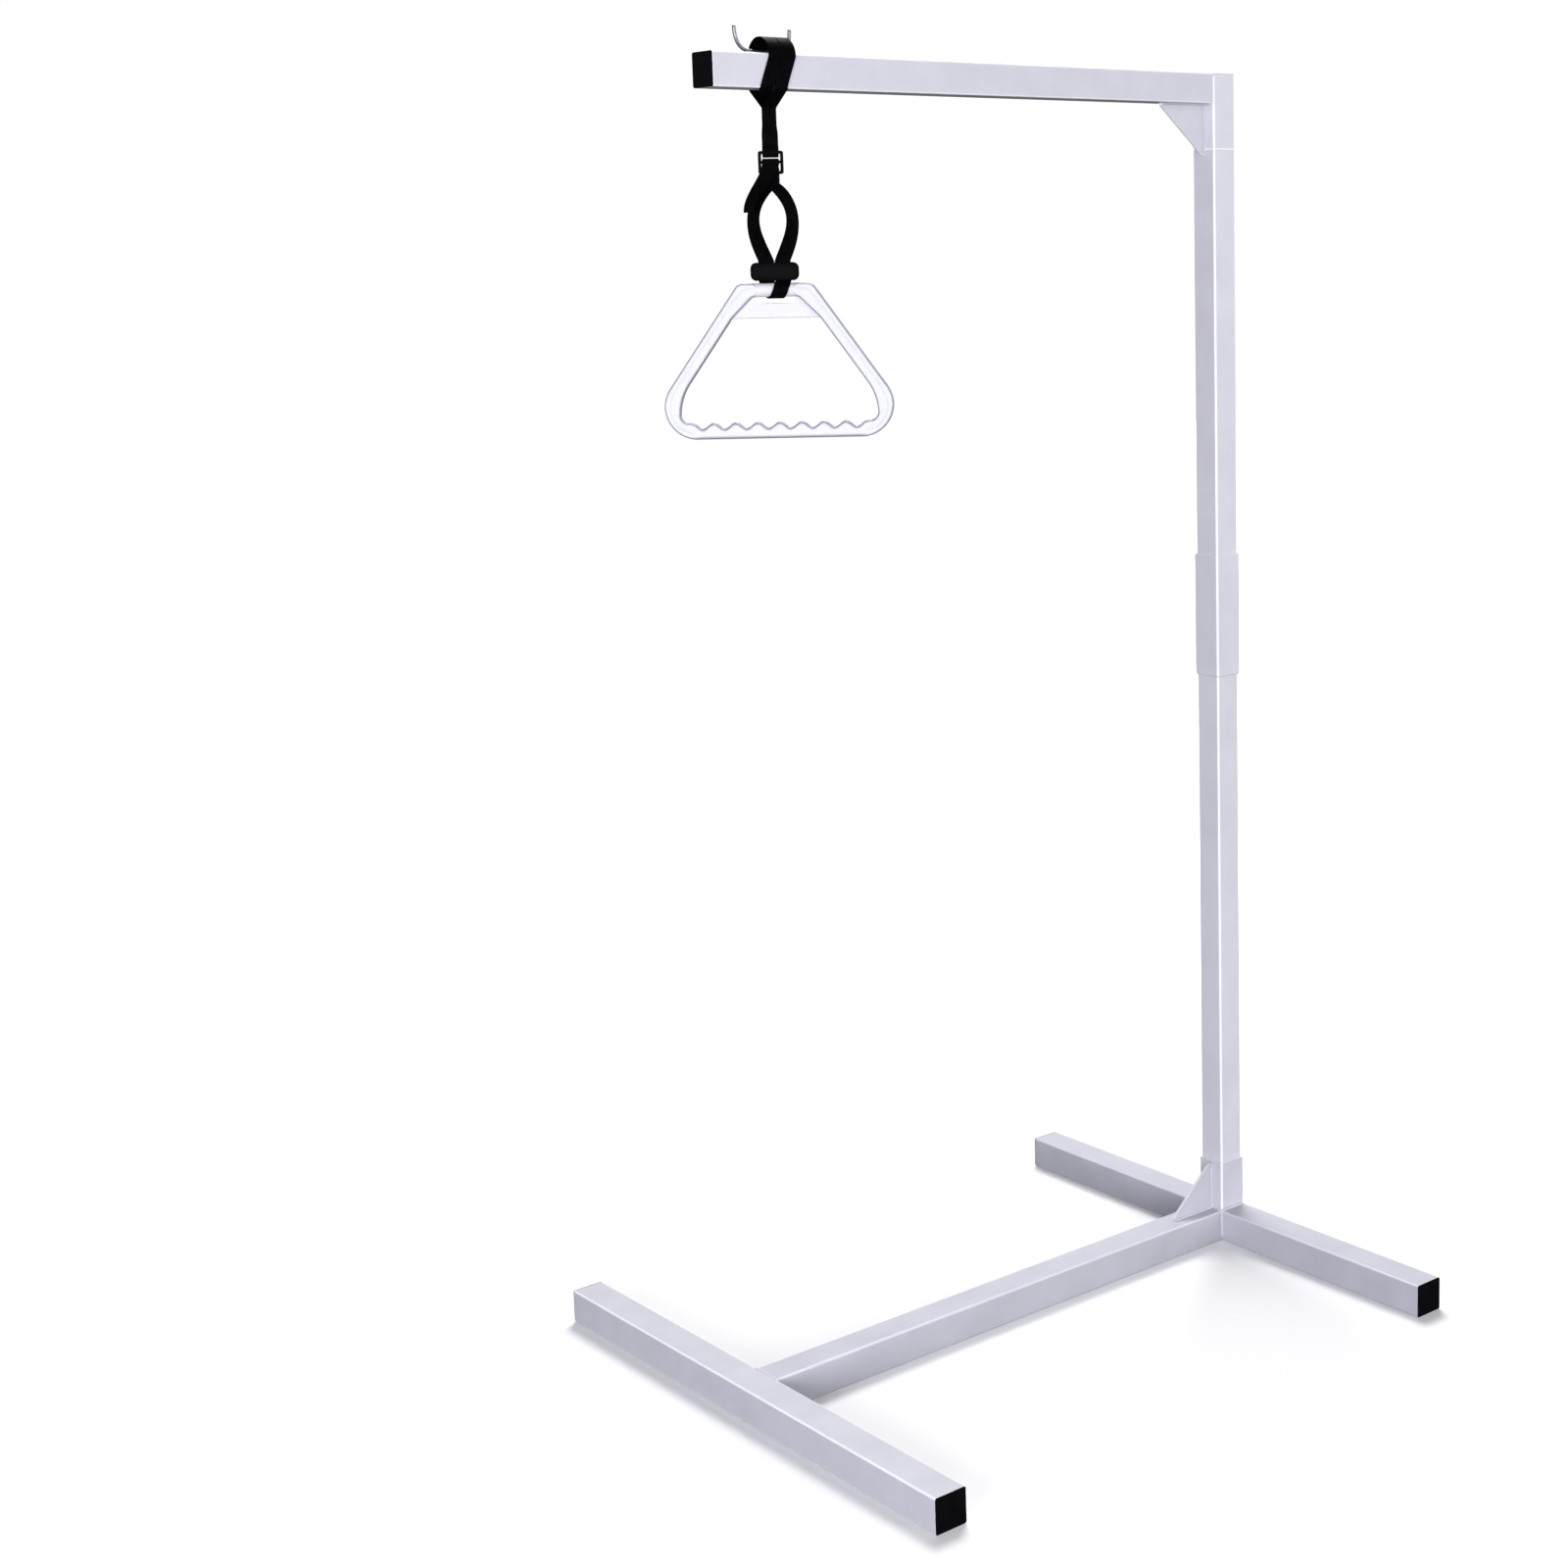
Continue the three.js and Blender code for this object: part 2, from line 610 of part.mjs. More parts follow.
// Lower length of the hanging strap: both plies turn to the handle's plane, then pass round
// the buckle's top bar. The frame here is the handle's, so the turn starts from the boom's.
function lowerStrapStations() {
  const stations = [];
  const twistSteps = 8;
  const ply = (side, step) => {
    const angle = -handleYaw * (1 - step / twistSteps);
    const across = new THREE.Vector3(Math.cos(angle), Math.sin(angle), 0);
    const forward = new THREE.Vector3(Math.sin(angle), -Math.cos(angle), 0);
    const z = strapLowerTop - (strapTwistLength * step) / twistSteps;
    const centre = forward.multiplyScalar(side * plyOffset);
    centre.z = z;
    return { centre, across };
  };
  for (let step = 0; step <= twistSteps; step += 1) {
    stations.push(ply(1, step));
  }
  const across = new THREE.Vector3(1, 0, 0);
  const wrapSteps = 10;
  for (let step = 0; step <= wrapSteps; step += 1) {
    const angle = (step * Math.PI) / wrapSteps;
    const y = -barWrapRadius * Math.cos(angle);
    const centre = new THREE.Vector3(0, y, topBarBottom - barWrapRadius * Math.sin(angle));
    if (step === 0) {
      stations.push({ centre: new THREE.Vector3(0, y, buckleTop), across });
    }
    stations.push({ centre, across });
    if (step === wrapSteps) {
      stations.push({ centre: new THREE.Vector3(0, y, buckleTop), across });
    }
  }
  for (let step = twistSteps; step >= 0; step -= 1) {
    const { centre, across: plyAcross } = ply(-1, step);
    stations.push({ centre, across: plyAcross });
  }
  return stations;
}

// Ladder buckle: a flat frame with three bars and two slots
function buckleGeometry() {
  const frame = roundedRectangle(new THREE.Shape(), buckleWidth, buckleHeight, buckleCornerRadius);
  const slotWidth = buckleWidth - 2 * buckleRailWidth;
  const middle = (buckleTop + buckleBottom) / 2;
  for (const [low, high] of [[middleBarTop, topBarBottom], [bottomBarTop, middleBarBottom]]) {
    const slot = roundedPath(new THREE.Path(), [
      [-slotWidth / 2, low - middle, buckleSlotRadius],
      [slotWidth / 2, low - middle, buckleSlotRadius],
      [slotWidth / 2, high - middle, buckleSlotRadius],
      [-slotWidth / 2, high - middle, buckleSlotRadius],
    ]);
    frame.holes.push(slot);
  }
  const geometry = new THREE.ExtrudeGeometry(frame, {
    depth: buckleThickness,
    bevelEnabled: false,
    curveSegments: 3,
  });
  geometry.translate(0, 0, -buckleThickness / 2);
  geometry.rotateX(Math.PI / 2);
  geometry.translate(0, 0, middle);
  return geometry;
}

// Tail: up in front of the fold, back under the middle bar, over it, and out as a free end
function tailStations() {
  const lowerPassZ = (bottomBarTop + barWrapRadius + webbingThickness / 2 + middleBarBottom) / 2;
  const bend = webbingThickness;
  const outY = -outerLegForward - tailForward / 3;
  const across = new THREE.Vector3(1, 0, 0);
  const threaded = bentLine([
    [-outerLegForward, foldEnd],
    [-outerLegForward, lowerPassZ, bend],
    [barWrapRadius, lowerPassZ, bend],
    [barWrapRadius, tailAboveBarZ, bend],
    [outY, tailAboveBarZ, bend],
    [outY, tailAboveBarZ - 2 * bend],
  ], 5);
  const stations = threaded.map(({ x: y, y: z }) => ({ centre: new THREE.Vector3(0, y, z), across }));
  const tailStart = tailAboveBarZ - 2 * bend;
  const steps = 12;
  for (let step = 1; step <= steps; step += 1) {
    const share = step / steps;
    const ease = share * share * (3 - 2 * share);
    const angle = -THREE.MathUtils.degToRad(tailTwistDegrees) * ease;
    stations.push({
      centre: new THREE.Vector3(
        -tailSwingOut * ease,
        outY - tailForward * Math.sin(share * Math.PI * 0.75),
        tailStart - (tailDrop + bend) * share,
      ),
      across: new THREE.Vector3(Math.cos(angle), Math.sin(angle), 0),
    });
  }
  return stations;
}

// Sewn end of the back leg: up behind the bottom bar, over it and down in front
function foldStations() {
  const across = new THREE.Vector3(1, 0, 0);
  const stations = [{ centre: new THREE.Vector3(0, barWrapRadius, foldEnd), across }];
  const steps = 10;
  for (let step = 0; step <= steps; step += 1) {
    const angle = (step * Math.PI) / steps;
    const y = barWrapRadius * Math.cos(angle);
    const centre = new THREE.Vector3(0, y, bottomBarTop + barWrapRadius * Math.sin(angle));
    stations.push({ centre, across });
  }
  stations.push({ centre: new THREE.Vector3(0, -barWrapRadius, foldEnd), across });
  return stations;
}

// A leg of the loop: side is 1 for the front leg, which bows right, and -1 for the back leg
function legStations(side) {
  const steps = 20;
  const bowed = legLength - 2 * legStraight;
  const startForward = side > 0 ? outerLegForward : barWrapRadius;
  const station = (share, z) => {
    const swell = Math.sin(share ** legSwellPower * Math.PI);
    const angle = THREE.MathUtils.degToRad(legTwistDegrees) * swell;
    const forward = startForward + (plyOffset - startForward) * share + legSpread * swell;
    const aside = legLowerOffset * share + legBow * swell;
    const centre = new THREE.Vector3(side * aside, -side * forward, z);
    return { centre, across: new THREE.Vector3(Math.cos(angle), Math.sin(angle), 0) };
  };
  const stations = [station(0, legTop)];
  for (let step = 0; step <= steps; step += 1) {
    const share = step / steps;
    stations.push(station(share, legTop - legStraight - bowed * share));
  }
  stations.push(station(1, legBottom));
  return stations;
}

// Everything on the buckle's body, in the handle's turned frame
function buildBuckle() {
  const buckle = new THREE.Group();
  buckle.position.set(strapX, 0, 0);
  buckle.rotation.z = handleYaw;
  addPiece(buckle, 'hanging_strap_lower', webbingGeometry(lowerStrapStations()), 'webbing');
  addPiece(buckle, 'ladder_buckle', buckleGeometry(), 'blackPlastic');
  addPiece(buckle, 'strap_tail', webbingGeometry(tailStations()), 'webbing');
  addPiece(buckle, 'sewn_fold', webbingGeometry(foldStations()), 'webbing');
  addPiece(buckle, 'loop_leg_front', webbingGeometry(legStations(1)), 'webbing');
  addPiece(buckle, 'loop_leg_back', webbingGeometry(legStations(-1)), 'webbing');
  return buckle;
}

// Handle loop: through the slider, round the handle's seat bar and back, a drop shape
function loopStations() {
  const apexZ = sliderOverBar;
  const apexDistance = Math.hypot(plyOffset, apexZ);
  const apexAngle = Math.atan2(apexZ, plyOffset);
  const tangentAngle = apexAngle - Math.acos(loopRadius / apexDistance);
  const sweep = Math.PI + 2 * tangentAngle;
  const steps = 16;
  const places = [[-plyOffset, apexZ + sliderHeight - webbingGap]];
  places.push([-plyOffset, apexZ]);
  for (let step = 0; step <= steps; step += 1) {
    const angle = Math.PI - tangentAngle + (sweep * step) / steps;
    places.push([loopRadius * Math.cos(angle), loopRadius * Math.sin(angle)]);
  }
  places.push([plyOffset, apexZ]);
  places.push([plyOffset, apexZ + sliderHeight - webbingGap]);
  const last = places.length - 1;
  const across = new THREE.Vector3(1, 0, 0);
  return places.map(([y, z], index) => {
    const middleShare = 1 - (2 * THREE.MathUtils.clamp(index - 1, 0, last - 2)) / (last - 2);
    return { centre: new THREE.Vector3(legLowerOffset * middleShare, y, z), across };
  });
}

// Slider: a rounded plate with a slot through it from top to bottom
function sliderGeometry() {
  const front = roundedRectangle(new THREE.Shape(), sliderWidth, sliderHeight, sliderCornerRadius);
  const slot = roundedRectangle(new THREE.Path(), sliderSlotWidth, sliderSlotDepth, sliderSlotRadius);
  const body = slabGeometry(front, sliderThickness, sliderEdgeBevel);
  body.translate(0, 0, sliderHeight / 2);
  const hole = new THREE.Shape(slot.getPoints(3));
  const cut = new THREE.ExtrudeGeometry(hole, { depth: sliderHeight + 2 * cutOverrun, bevelEnabled: false });
  cut.translate(0, 0, -cutOverrun);
  return geometryOf(solidOf(body).subtract(solidOf(cut)));
}

function buildLoopEnd() {
  const loopEnd = new THREE.Group();
  loopEnd.position.set(strapX, 0, handleBarZ);
  loopEnd.rotation.z = handleYaw;
  addPiece(loopEnd, 'strap_slider', sliderGeometry(), 'blackPlastic').position.z = sliderOverBar;
  addPiece(loopEnd, 'handle_loop', webbingGeometry(loopStations()), 'webbing');
  return loopEnd;
}

// Half width of the handle's outline at a drop below its top, along the arm's outer edge.
// The arm's straight edge is set by the rounded bottom corner's widest place.
const armRun = (() => {
  const topHalf = handleTopWidth / 2;
  let run = 1;
  for (let pass = 0; pass < 30; pass += 1) {
    const armAngle = Math.atan2(handleHeight, run);
    const cornerSide = handleBottomRadius / Math.tan(armAngle / 2);
    run = handleWidth / 2 - handleBottomRadius + cornerSide - topHalf;
  }
  return run;
})();
const armSlope = armRun / handleHeight;
const armBandAcross = handleArmBand * Math.hypot(1, armSlope);
const outerHalf = (drop) => handleTopWidth / 2 + armSlope * drop;
const innerHalf = (drop) => outerHalf(drop) - armBandAcross;

// Grip opening: straight arms, and a wavy lower edge with one valley for each finger
function gripOpening() {
  const valleyZ = gripThickness - handleHeight;
  const crestZ = valleyZ + gripCrest;
  const waveHalf = (gripValleys * gripPitch) / 2;
  const opening = new THREE.Path();
  const wide = innerHalf(handleInnerSideDrop);
  const bend = innerHalf(handleWebDrop);
  const outline = roundedPath(new THREE.Path(), [
    [-recessTopHalf, -recessTopDrop, handleInnerTopRadius],
    [-bend, -handleWebDrop, handleInnerBendRadius],
    [-wide, -handleInnerSideDrop, handleInnerSideRadius],
    [-wide, crestZ, handleInnerBottomRadius],
    [wide, crestZ, handleInnerBottomRadius],
    [wide, -handleInnerSideDrop, handleInnerSideRadius],
    [bend, -handleWebDrop, handleInnerBendRadius],
    [recessTopHalf, -recessTopDrop, handleInnerTopRadius],
  ]).getPoints(6);
  const wave = [];
  const steps = gripValleys * 8;
  for (let step = 0; step <= steps; step += 1) {
    const share = step / steps;
    const x = -waveHalf + 2 * waveHalf * share;
    const lift = 1 - Math.cos(share * gripValleys * 2 * Math.PI);
    wave.push(new THREE.Vector2(x, crestZ - (gripCrest * lift) / 2));
  }
  const lowest = Math.min(...outline.map((place) => place.y));
  const isFloor = (place) => place.y < lowest + cutOverrun / 10 && Math.abs(place.x) < wide;
  const insideWave = outline.filter((place) => !(isFloor(place) && Math.abs(place.x) < waveHalf));
  const split = insideWave.findIndex((place) => place.x > 0 && place.y < lowest + handleInnerBottomRadius);
  opening.setFromPoints([...insideWave.slice(0, split), ...wave, ...insideWave.slice(split)]);
  return opening;
}

// Flat slab in the handle's plane, bevelled or plain, from a shape drawn in X and Z
function slabGeometry(shape, depth, bevel) {
  const geometry = new THREE.ExtrudeGeometry(shape, {
    depth: depth - 2 * bevel,
    bevelEnabled: bevel > 0,
    bevelThickness: bevel,
    bevelSize: bevel,
    bevelOffset: -bevel,
    bevelSegments: 2,
    curveSegments: 8,
  });
  geometry.translate(0, 0, bevel - depth / 2);
  geometry.rotateX(Math.PI / 2);
  return geometry;
}

// The handle's own frame has its origin on the seat bar's axis
function handleGeometry() {
  const topHalf = handleTopWidth / 2;
  const bottomHalf = outerHalf(handleHeight);
  const outline = roundedPath(new THREE.Shape(), [
    [topHalf, 0, handleTopRadius],
    [-topHalf, 0, handleTopRadius],
    [-bottomHalf, -handleHeight, handleBottomRadius],
    [bottomHalf, -handleHeight, handleBottomRadius],
  ]);
  outline.holes.push(gripOpening());
  const frame = solidOf(slabGeometry(outline, handleDepth, handleEdgeBevel));
  const webTop = seatBarRadius;
  const webTopHalf = recessTopHalf + handleArmBand / 4;
  const webBottomHalf = innerHalf(handleWebDrop) + handleArmBand / 2;
  const web = new THREE.Shape();
  web.moveTo(-webTopHalf, -webTop);
  web.lineTo(-webBottomHalf, -handleWebDrop);
  web.lineTo(webBottomHalf, -handleWebDrop);
  web.lineTo(webTopHalf, -webTop);
  web.closePath();
  const webPlate = solidOf(slabGeometry(web, handleWebThickness, 0));
  const seatBottom = handleDepth + strapSeatDepth;
  const notchHeight = seatBottom + cutOverrun;
  const notch = new THREE.BoxGeometry(2 * strapSeatHalfWidth, handleDepth + 2 * cutOverrun, notchHeight);
  notch.translate(0, 0, notchHeight / 2 - seatBottom);
  const barLength = 2 * (strapSeatHalfWidth + seatBarMerge);
  const bar = new THREE.CylinderGeometry(seatBarRadius, seatBarRadius, barLength, 32);
  bar.rotateZ(Math.PI / 2);
  bar.translate(0, 0, -seatBarRadius);
  const whole = frame.add(webPlate).subtract(solidOf(notch)).add(solidOf(bar));
  const geometry = geometryOf(whole);
  geometry.translate(0, 0, seatBarRadius);
  return geometry;
}

function buildHandle() {
  const handle = new THREE.Group();
  handle.position.set(strapX, 0, handleBarZ);
  handle.rotation.z = handleYaw;
  addPiece(handle, 'grab_handle', handleGeometry(), 'whitePlastic');
  return handle;
}

const trapeze = new THREE.Group();
trapeze.add(buildBase());
trapeze.add(buildLowerColumn());
trapeze.add(buildMast());
trapeze.add(buildHangingStrap());
trapeze.add(buildBuckle());
trapeze.add(buildLoopEnd());
trapeze.add(buildHandle());

export default trapeze;
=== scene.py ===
"""Looks of a free-standing bed trapeze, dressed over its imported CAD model.

Every class holds its sizes in millimetres, and Shell turns them to metres when it makes a
mesh. +Z is up, +X points from the middle of the base to the column, and the origin is on the
floor in the middle of the base.
"""

from __future__ import annotations

import logging
import math
from dataclasses import dataclass, field, replace
from enum import Enum
from typing import Sequence

import bmesh
import bpy
import numpy as np
from mathutils import Matrix

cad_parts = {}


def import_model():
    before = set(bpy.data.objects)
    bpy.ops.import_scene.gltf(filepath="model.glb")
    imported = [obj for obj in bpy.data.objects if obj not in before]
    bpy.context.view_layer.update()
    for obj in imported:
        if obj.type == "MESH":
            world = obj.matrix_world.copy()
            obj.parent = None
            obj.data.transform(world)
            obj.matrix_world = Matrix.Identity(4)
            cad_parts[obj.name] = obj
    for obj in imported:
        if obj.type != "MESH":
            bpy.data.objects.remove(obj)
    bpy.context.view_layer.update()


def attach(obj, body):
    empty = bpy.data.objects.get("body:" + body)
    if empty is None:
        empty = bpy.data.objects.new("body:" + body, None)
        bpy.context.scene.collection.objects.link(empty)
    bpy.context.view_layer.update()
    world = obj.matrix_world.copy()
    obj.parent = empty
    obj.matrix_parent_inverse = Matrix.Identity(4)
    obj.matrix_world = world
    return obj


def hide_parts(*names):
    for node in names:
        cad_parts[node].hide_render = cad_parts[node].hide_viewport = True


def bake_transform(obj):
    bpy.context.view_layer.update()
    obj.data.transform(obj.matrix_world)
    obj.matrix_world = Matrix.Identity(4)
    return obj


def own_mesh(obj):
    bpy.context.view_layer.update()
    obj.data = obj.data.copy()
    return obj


LOG = logging.getLogger("bed_trapeze")
Array = np.ndarray
MM = 0.001
SURFACE_MAP = "surface"
SPAN = ("From Min", "From Max", "To Min", "To Max")
X_AXIS = np.array((1.0, 0.0, 0.0))
Y_AXIS = np.array((0.0, 1.0, 0.0))
Z_AXIS = np.array((0.0, 0.0, 1.0))
BOTH_SIDES = (-1.0, 1.0)
QUARTERS = ((1, 1), (-1, 1), (-1, -1), (1, -1))
LEAD_SHARE = 0.4
WHITE = "#FFFFFF"


class Body(Enum):
    """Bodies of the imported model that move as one."""

    BASE = "base"
    COLUMN = "column"
    MAST = "mast"
    STRAP_TOP = "strap_top"
    STRAP_MIDDLE = "strap_middle"
    BUCKLE = "buckle"
    LOOP_END = "loop_end"
    HANDLE = "handle"


@dataclass(frozen=True)
class Stand:
    """Sizes of the steel stand that several sub-assemblies share."""

    foot_length: float = 870.0
    height: float = 1850.0
    outer_tube: float = 50.0
    outer_radius: float = 3.0
    wall: float = 2.0
    column_tube: float = 45.0
    column_radius: float = 3.0
    foot_x: float = 465.0
    socket_height: float = 80.0
    sleeve_bottom: float = 930.0
    sleeve_height: float = 190.0
    seam_z: float = 1738.0
    boom_end_x: float = -457.5
    strap_x: float = -357.5
    handle_yaw: float = -41.0

    @property
    def outer(self) -> SquareTube:
        """Tube of the base and of the column's sockets."""
        return SquareTube(self.outer_tube, self.outer_radius, self.wall)

    @property
    def inner(self) -> SquareTube:
        """Tube of the column and the boom."""
        return SquareTube(self.column_tube, self.column_radius, self.wall)

    @property
    def socket_front(self) -> float:
        """Front face of the column socket."""
        return self.foot_x - self.outer_tube / 2

    @property
    def sleeve_top(self) -> float:
        """Upper end of the sleeve."""
        return self.sleeve_bottom + self.sleeve_height

    @property
    def column_split(self) -> float:
        """Height inside the sleeve where the lower column ends and the upper one starts."""
        return self.sleeve_bottom + self.sleeve_height / 2

    @property
    def column_front(self) -> float:
        """Front face of the column, where the boom butts against it."""
        return self.foot_x - self.column_tube / 2

    @property
    def boom_bottom(self) -> float:
        """Underside of the boom."""
        return self.height - self.column_tube

    @property
    def boom_middle(self) -> float:
        """Height of the boom's axis."""
        return self.height - self.column_tube / 2


# ---- arrays -------------------------------------------------------------------------------


def unit(vectors: Array) -> Array:
    """Vectors of length one.

    Args:
        vectors: Vectors in the last axis.

    Returns:
        The same directions, each divided by its own length.
    """
    return vectors / np.linalg.norm(vectors, axis=-1, keepdims=True)


def ease(values: Array) -> Array:
    """Smooth step from 0 to 1: t * t * (3 - 2 t) of the value held between 0 and 1."""
    held = np.clip(values, 0.0, 1.0)
    return held * held * (3.0 - 2.0 * held)


def full_turn(count: int) -> Array:
    """Even steps of angle round a full turn, from zero."""
    return np.arange(count) * (2.0 * math.pi / count)


def spokes(angles: Array) -> Array:
    """Cosine and sine of each angle, side by side in a new last axis."""
    return np.stack((np.cos(angles), np.sin(angles)), axis=-1)


def raised(points: Array, height: float) -> Array:
    """Flat points put at one height."""
    return np.column_stack((points, np.full(len(points), height)))


def as_marks(mark: Array) -> Array:
    """Places in the UV map whose first coordinate is the mark."""
    return np.stack((mark, 0 * mark), axis=-1)


def lengths(path: Array) -> Array:
    """Length along a path at each of its points, summed from its straight pieces."""
    steps = np.linalg.norm(np.diff(path, axis=0), axis=1)
    return np.concatenate(([0.0], np.cumsum(steps)))


def along_path(places: Array, at: Array, path: Array) -> Array:
    """Points of a path at given lengths.

    Args:
        places: Lengths to look up.
        at: Length at each point of the path.
        path: Points, one in each row.

    Returns:
        Points whose coordinates are each interpolated over the path's length.
    """
    return np.stack([np.interp(places, at, column) for column in path.T], axis=1)


def resampled(path: Array, spacing: float) -> Array:
    """Points of a path at even steps.

    Args:
        path: Points, one in each row.
        spacing: Longest step.

    Returns:
        The new points, from the path's first to its last.
    """
    at = lengths(path)
    count = max(int(math.ceil(at[-1] / spacing)), 1) + 1
    return along_path(np.linspace(0.0, at[-1], count), at, path)


def softened(path: Array, spread: int) -> Array:
    """Path with its corners eased by a bell-shaped running mean that keeps both end points.

    Args:
        path: Evenly spaced points.
        spread: Points on each side of the middle that the mean takes in.

    Returns:
        A path with as many points.
    """
    offsets = np.arange(-spread, spread + 1)
    weights = np.exp(-0.5 * (offsets / (0.45 * spread)) ** 2)
    weights /= weights.sum()
    head = 2.0 * path[0] - path[1 : spread + 1][::-1]
    tail = 2.0 * path[-1] - path[-spread - 1 : -1][::-1]
    padded = np.concatenate((head, path, tail))
    return np.stack([np.convolve(column, weights, "valid") for column in padded.T], axis=1)


def circle(radius: float, count: int) -> Array:
    """Counter-clockwise circle: radius times cosine and sine of even steps of the full turn."""
    return radius * spokes(full_turn(count))


def rounded_ring(width: float, height: float, radius: float, steps: int = 6) -> Array:
    """Counter-clockwise rounded rectangle.

    Each corner is a quarter arc with one more point on the flat before and after it, which
    keeps the flats' shading flat.

    Args:
        width: Size along the first axis.
        height: Size along the second axis.
        radius: Corner radius.
        steps: Pieces in each quarter arc.

    Returns:
        Points, four times the steps plus three.
    """
    longest_lead = 0.8
    lead = min(longest_lead, LEAD_SHARE * (min(width, height) / 2 - radius))
    corner = spokes(np.linspace(0.0, math.pi / 2, steps + 1)) * radius
    corner = np.concatenate(([corner[0] - (0, lead)], corner, [corner[-1] - (lead, 0)]))
    arcs = []
    for quarter, (x_side, y_side) in enumerate(QUARTERS):
        angle = quarter * math.pi / 2
        cosine, sine = round(math.cos(angle)), round(math.sin(angle))
        arc = corner @ np.array(((cosine, sine), (-sine, cosine)))
        arcs.append(arc + (x_side * (width / 2 - radius), y_side * (height / 2 - radius)))
    return np.concatenate(arcs)


def stacked(levels: Sequence[tuple[Array, float]]) -> Array:
    """Rings above each other: each level gives a flat ring and its height."""
    return np.stack([raised(ring, height) for ring, height in levels])


def swept(path: Array, across: Array, profile: Array, loop: bool = False) -> Array:
    """Rings of a profile carried along a path.

    The profile's first coordinate lies along the across direction, and its second along the
    normal, which is square to the path and to that direction.

    Args:
        path: Points of the path.
        across: Direction across the path, one for all points or one for each.
        profile: Flat profile, one for all points or one for each.
        loop: True if the path's last point is next to its first.

    Returns:
        Rings with the shape points, profile points, 3.
    """
    ahead = np.roll(path, -1, 0) - np.roll(path, 1, 0) if loop else np.gradient(path, axis=0)
    side = unit(np.broadcast_to(across, path.shape))
    normal = unit(np.cross(unit(ahead), side))
    shape = np.broadcast_to(profile, (len(path), *profile.shape[-2:]))
    return path[:, None] + side[:, None] * shape[..., :1] + normal[:, None] * shape[..., 1:]


def band(outer: Array, inner: Array, depth: float, radius: Array, groove: Array) -> Array:
    """Rings of a solid band that fills the space between two edges of equal point count.

    Each ring is a rounded rectangle that spans from its outer point to its inner point and
    has the band's depth along Y. A shallow groove runs along the front and the back, nearer
    to the outer edge. A table gives each profile point as shares: of the half span, the
    radius and the lead along the span, the same three along the depth, and of the groove.

    Args:
        outer: Outer edge, X and Z.
        inner: Inner edge, X and Z.
        depth: Size along Y.
        radius: Corner radius at each ring.
        groove: Depth of the groove at each ring.

    Returns:
        Rings with the shape points, profile points, 3.
    """
    longest_lead, roundest = 0.6, 0.98
    groove_places = np.array((0.2, 0.36, 0.44, 0.6))
    groove_shares = np.array((0.0, 1.0, 1.0, 0.0))
    span = inner - outer
    half = np.linalg.norm(span, axis=1) / 2
    radius = np.minimum(np.broadcast_to(radius, half.shape), roundest * np.minimum(half, depth / 2))
    lead = np.minimum(longest_lead, LEAD_SHARE * (half - radius))
    deep_lead = np.minimum(longest_lead, LEAD_SHARE * (depth / 2 - radius))
    rows = []
    for start, (a_side, b_side) in enumerate(QUARTERS):
        turn = np.linspace(start, start + 1, 7) * (math.pi / 2)
        cosine, sine = np.cos(turn), np.sin(turn)
        zero = np.zeros_like(turn)
        arc = [a_side + zero, cosine - a_side, zero, b_side + zero, sine - b_side, zero, zero]
        arc = np.stack(arc, axis=1)
        first, last = arc[0].copy(), arc[-1].copy()
        first[[2, 5]] = (sine[0], -cosine[0])
        last[[2, 5]] = (-sine[-1], cosine[-1])
        rows += [first[None], arc, last[None]]
        if a_side == b_side:
            share = -groove_places[::b_side]
            flat = np.zeros_like(share)
            cut = (share, -share, flat, b_side + flat, flat, flat, -b_side * groove_shares)
            rows.append(np.stack(cut, axis=1))
    table = np.concatenate(rows)
    half, radius, lead, deep_lead = (sizes[:, None] for sizes in (half, radius, lead, deep_lead))
    along = table[:, 0] * half + table[:, 1] * radius + table[:, 2] * lead
    deep = table[:, 3] * depth / 2 + table[:, 4] * radius + table[:, 5] * deep_lead
    deep = deep + table[:, 6] * np.broadcast_to(groove, len(outer))[:, None]
    middle = (outer + inner) / 2
    direction = unit(span)
    x = middle[:, :1] + direction[:, :1] * along
    z = middle[:, 1:] + direction[:, 1:] * along
    return np.stack((x, -deep, z), axis=-1)


def wall_shade_marks(rings: Array, depth: float) -> Array:
    """Marks of a band's painted shade on its side walls: 1 on them, falling to 0 at the band's
    front and back.
    """
    edge_share = 0.07
    return as_marks(ease((depth / 2 - np.abs(rings[..., 1])) / (edge_share * depth)))


def placed(points: Array, origin: Sequence[float], x_axis: Array, z_axis: Array) -> Array:
    """Points of a local frame put in the object's frame.

    Args:
        points: Local points in the last axis.
        origin: Where the local origin goes.
        x_axis: Where local X points.
        z_axis: Where local Z points; local Y is square to both.

    Returns:
        Points of the same shape.
    """
    basis = np.stack((x_axis, np.cross(z_axis, x_axis), z_axis))
    return points @ basis + np.asarray(origin, float)


def turned(points: Array, degrees: float, origin: Sequence[float]) -> Array:
    """Points turned about Z by an angle, then moved to an origin."""
    angle = math.radians(degrees)
    return placed(points, origin, np.array((math.cos(angle), math.sin(angle), 0.0)), Z_AXIS)


def view_matrix(right: Array, up: Array, back: Array, place: Sequence[float]) -> Matrix:
    """Matrix of a camera or a lamp, which look along their own -Z.

    Args:
        right: Direction of its own X.
        up: Direction of its own Y.
        back: Direction of its own Z.
        place: Where it stands, in metres.

    Returns:
        The matrix to the world.
    """
    matrix = np.eye(4)
    matrix[:3] = np.column_stack((right, up, back, place))
    return Matrix(matrix.tolist())


# ---- finishes -----------------------------------------------------------------------------


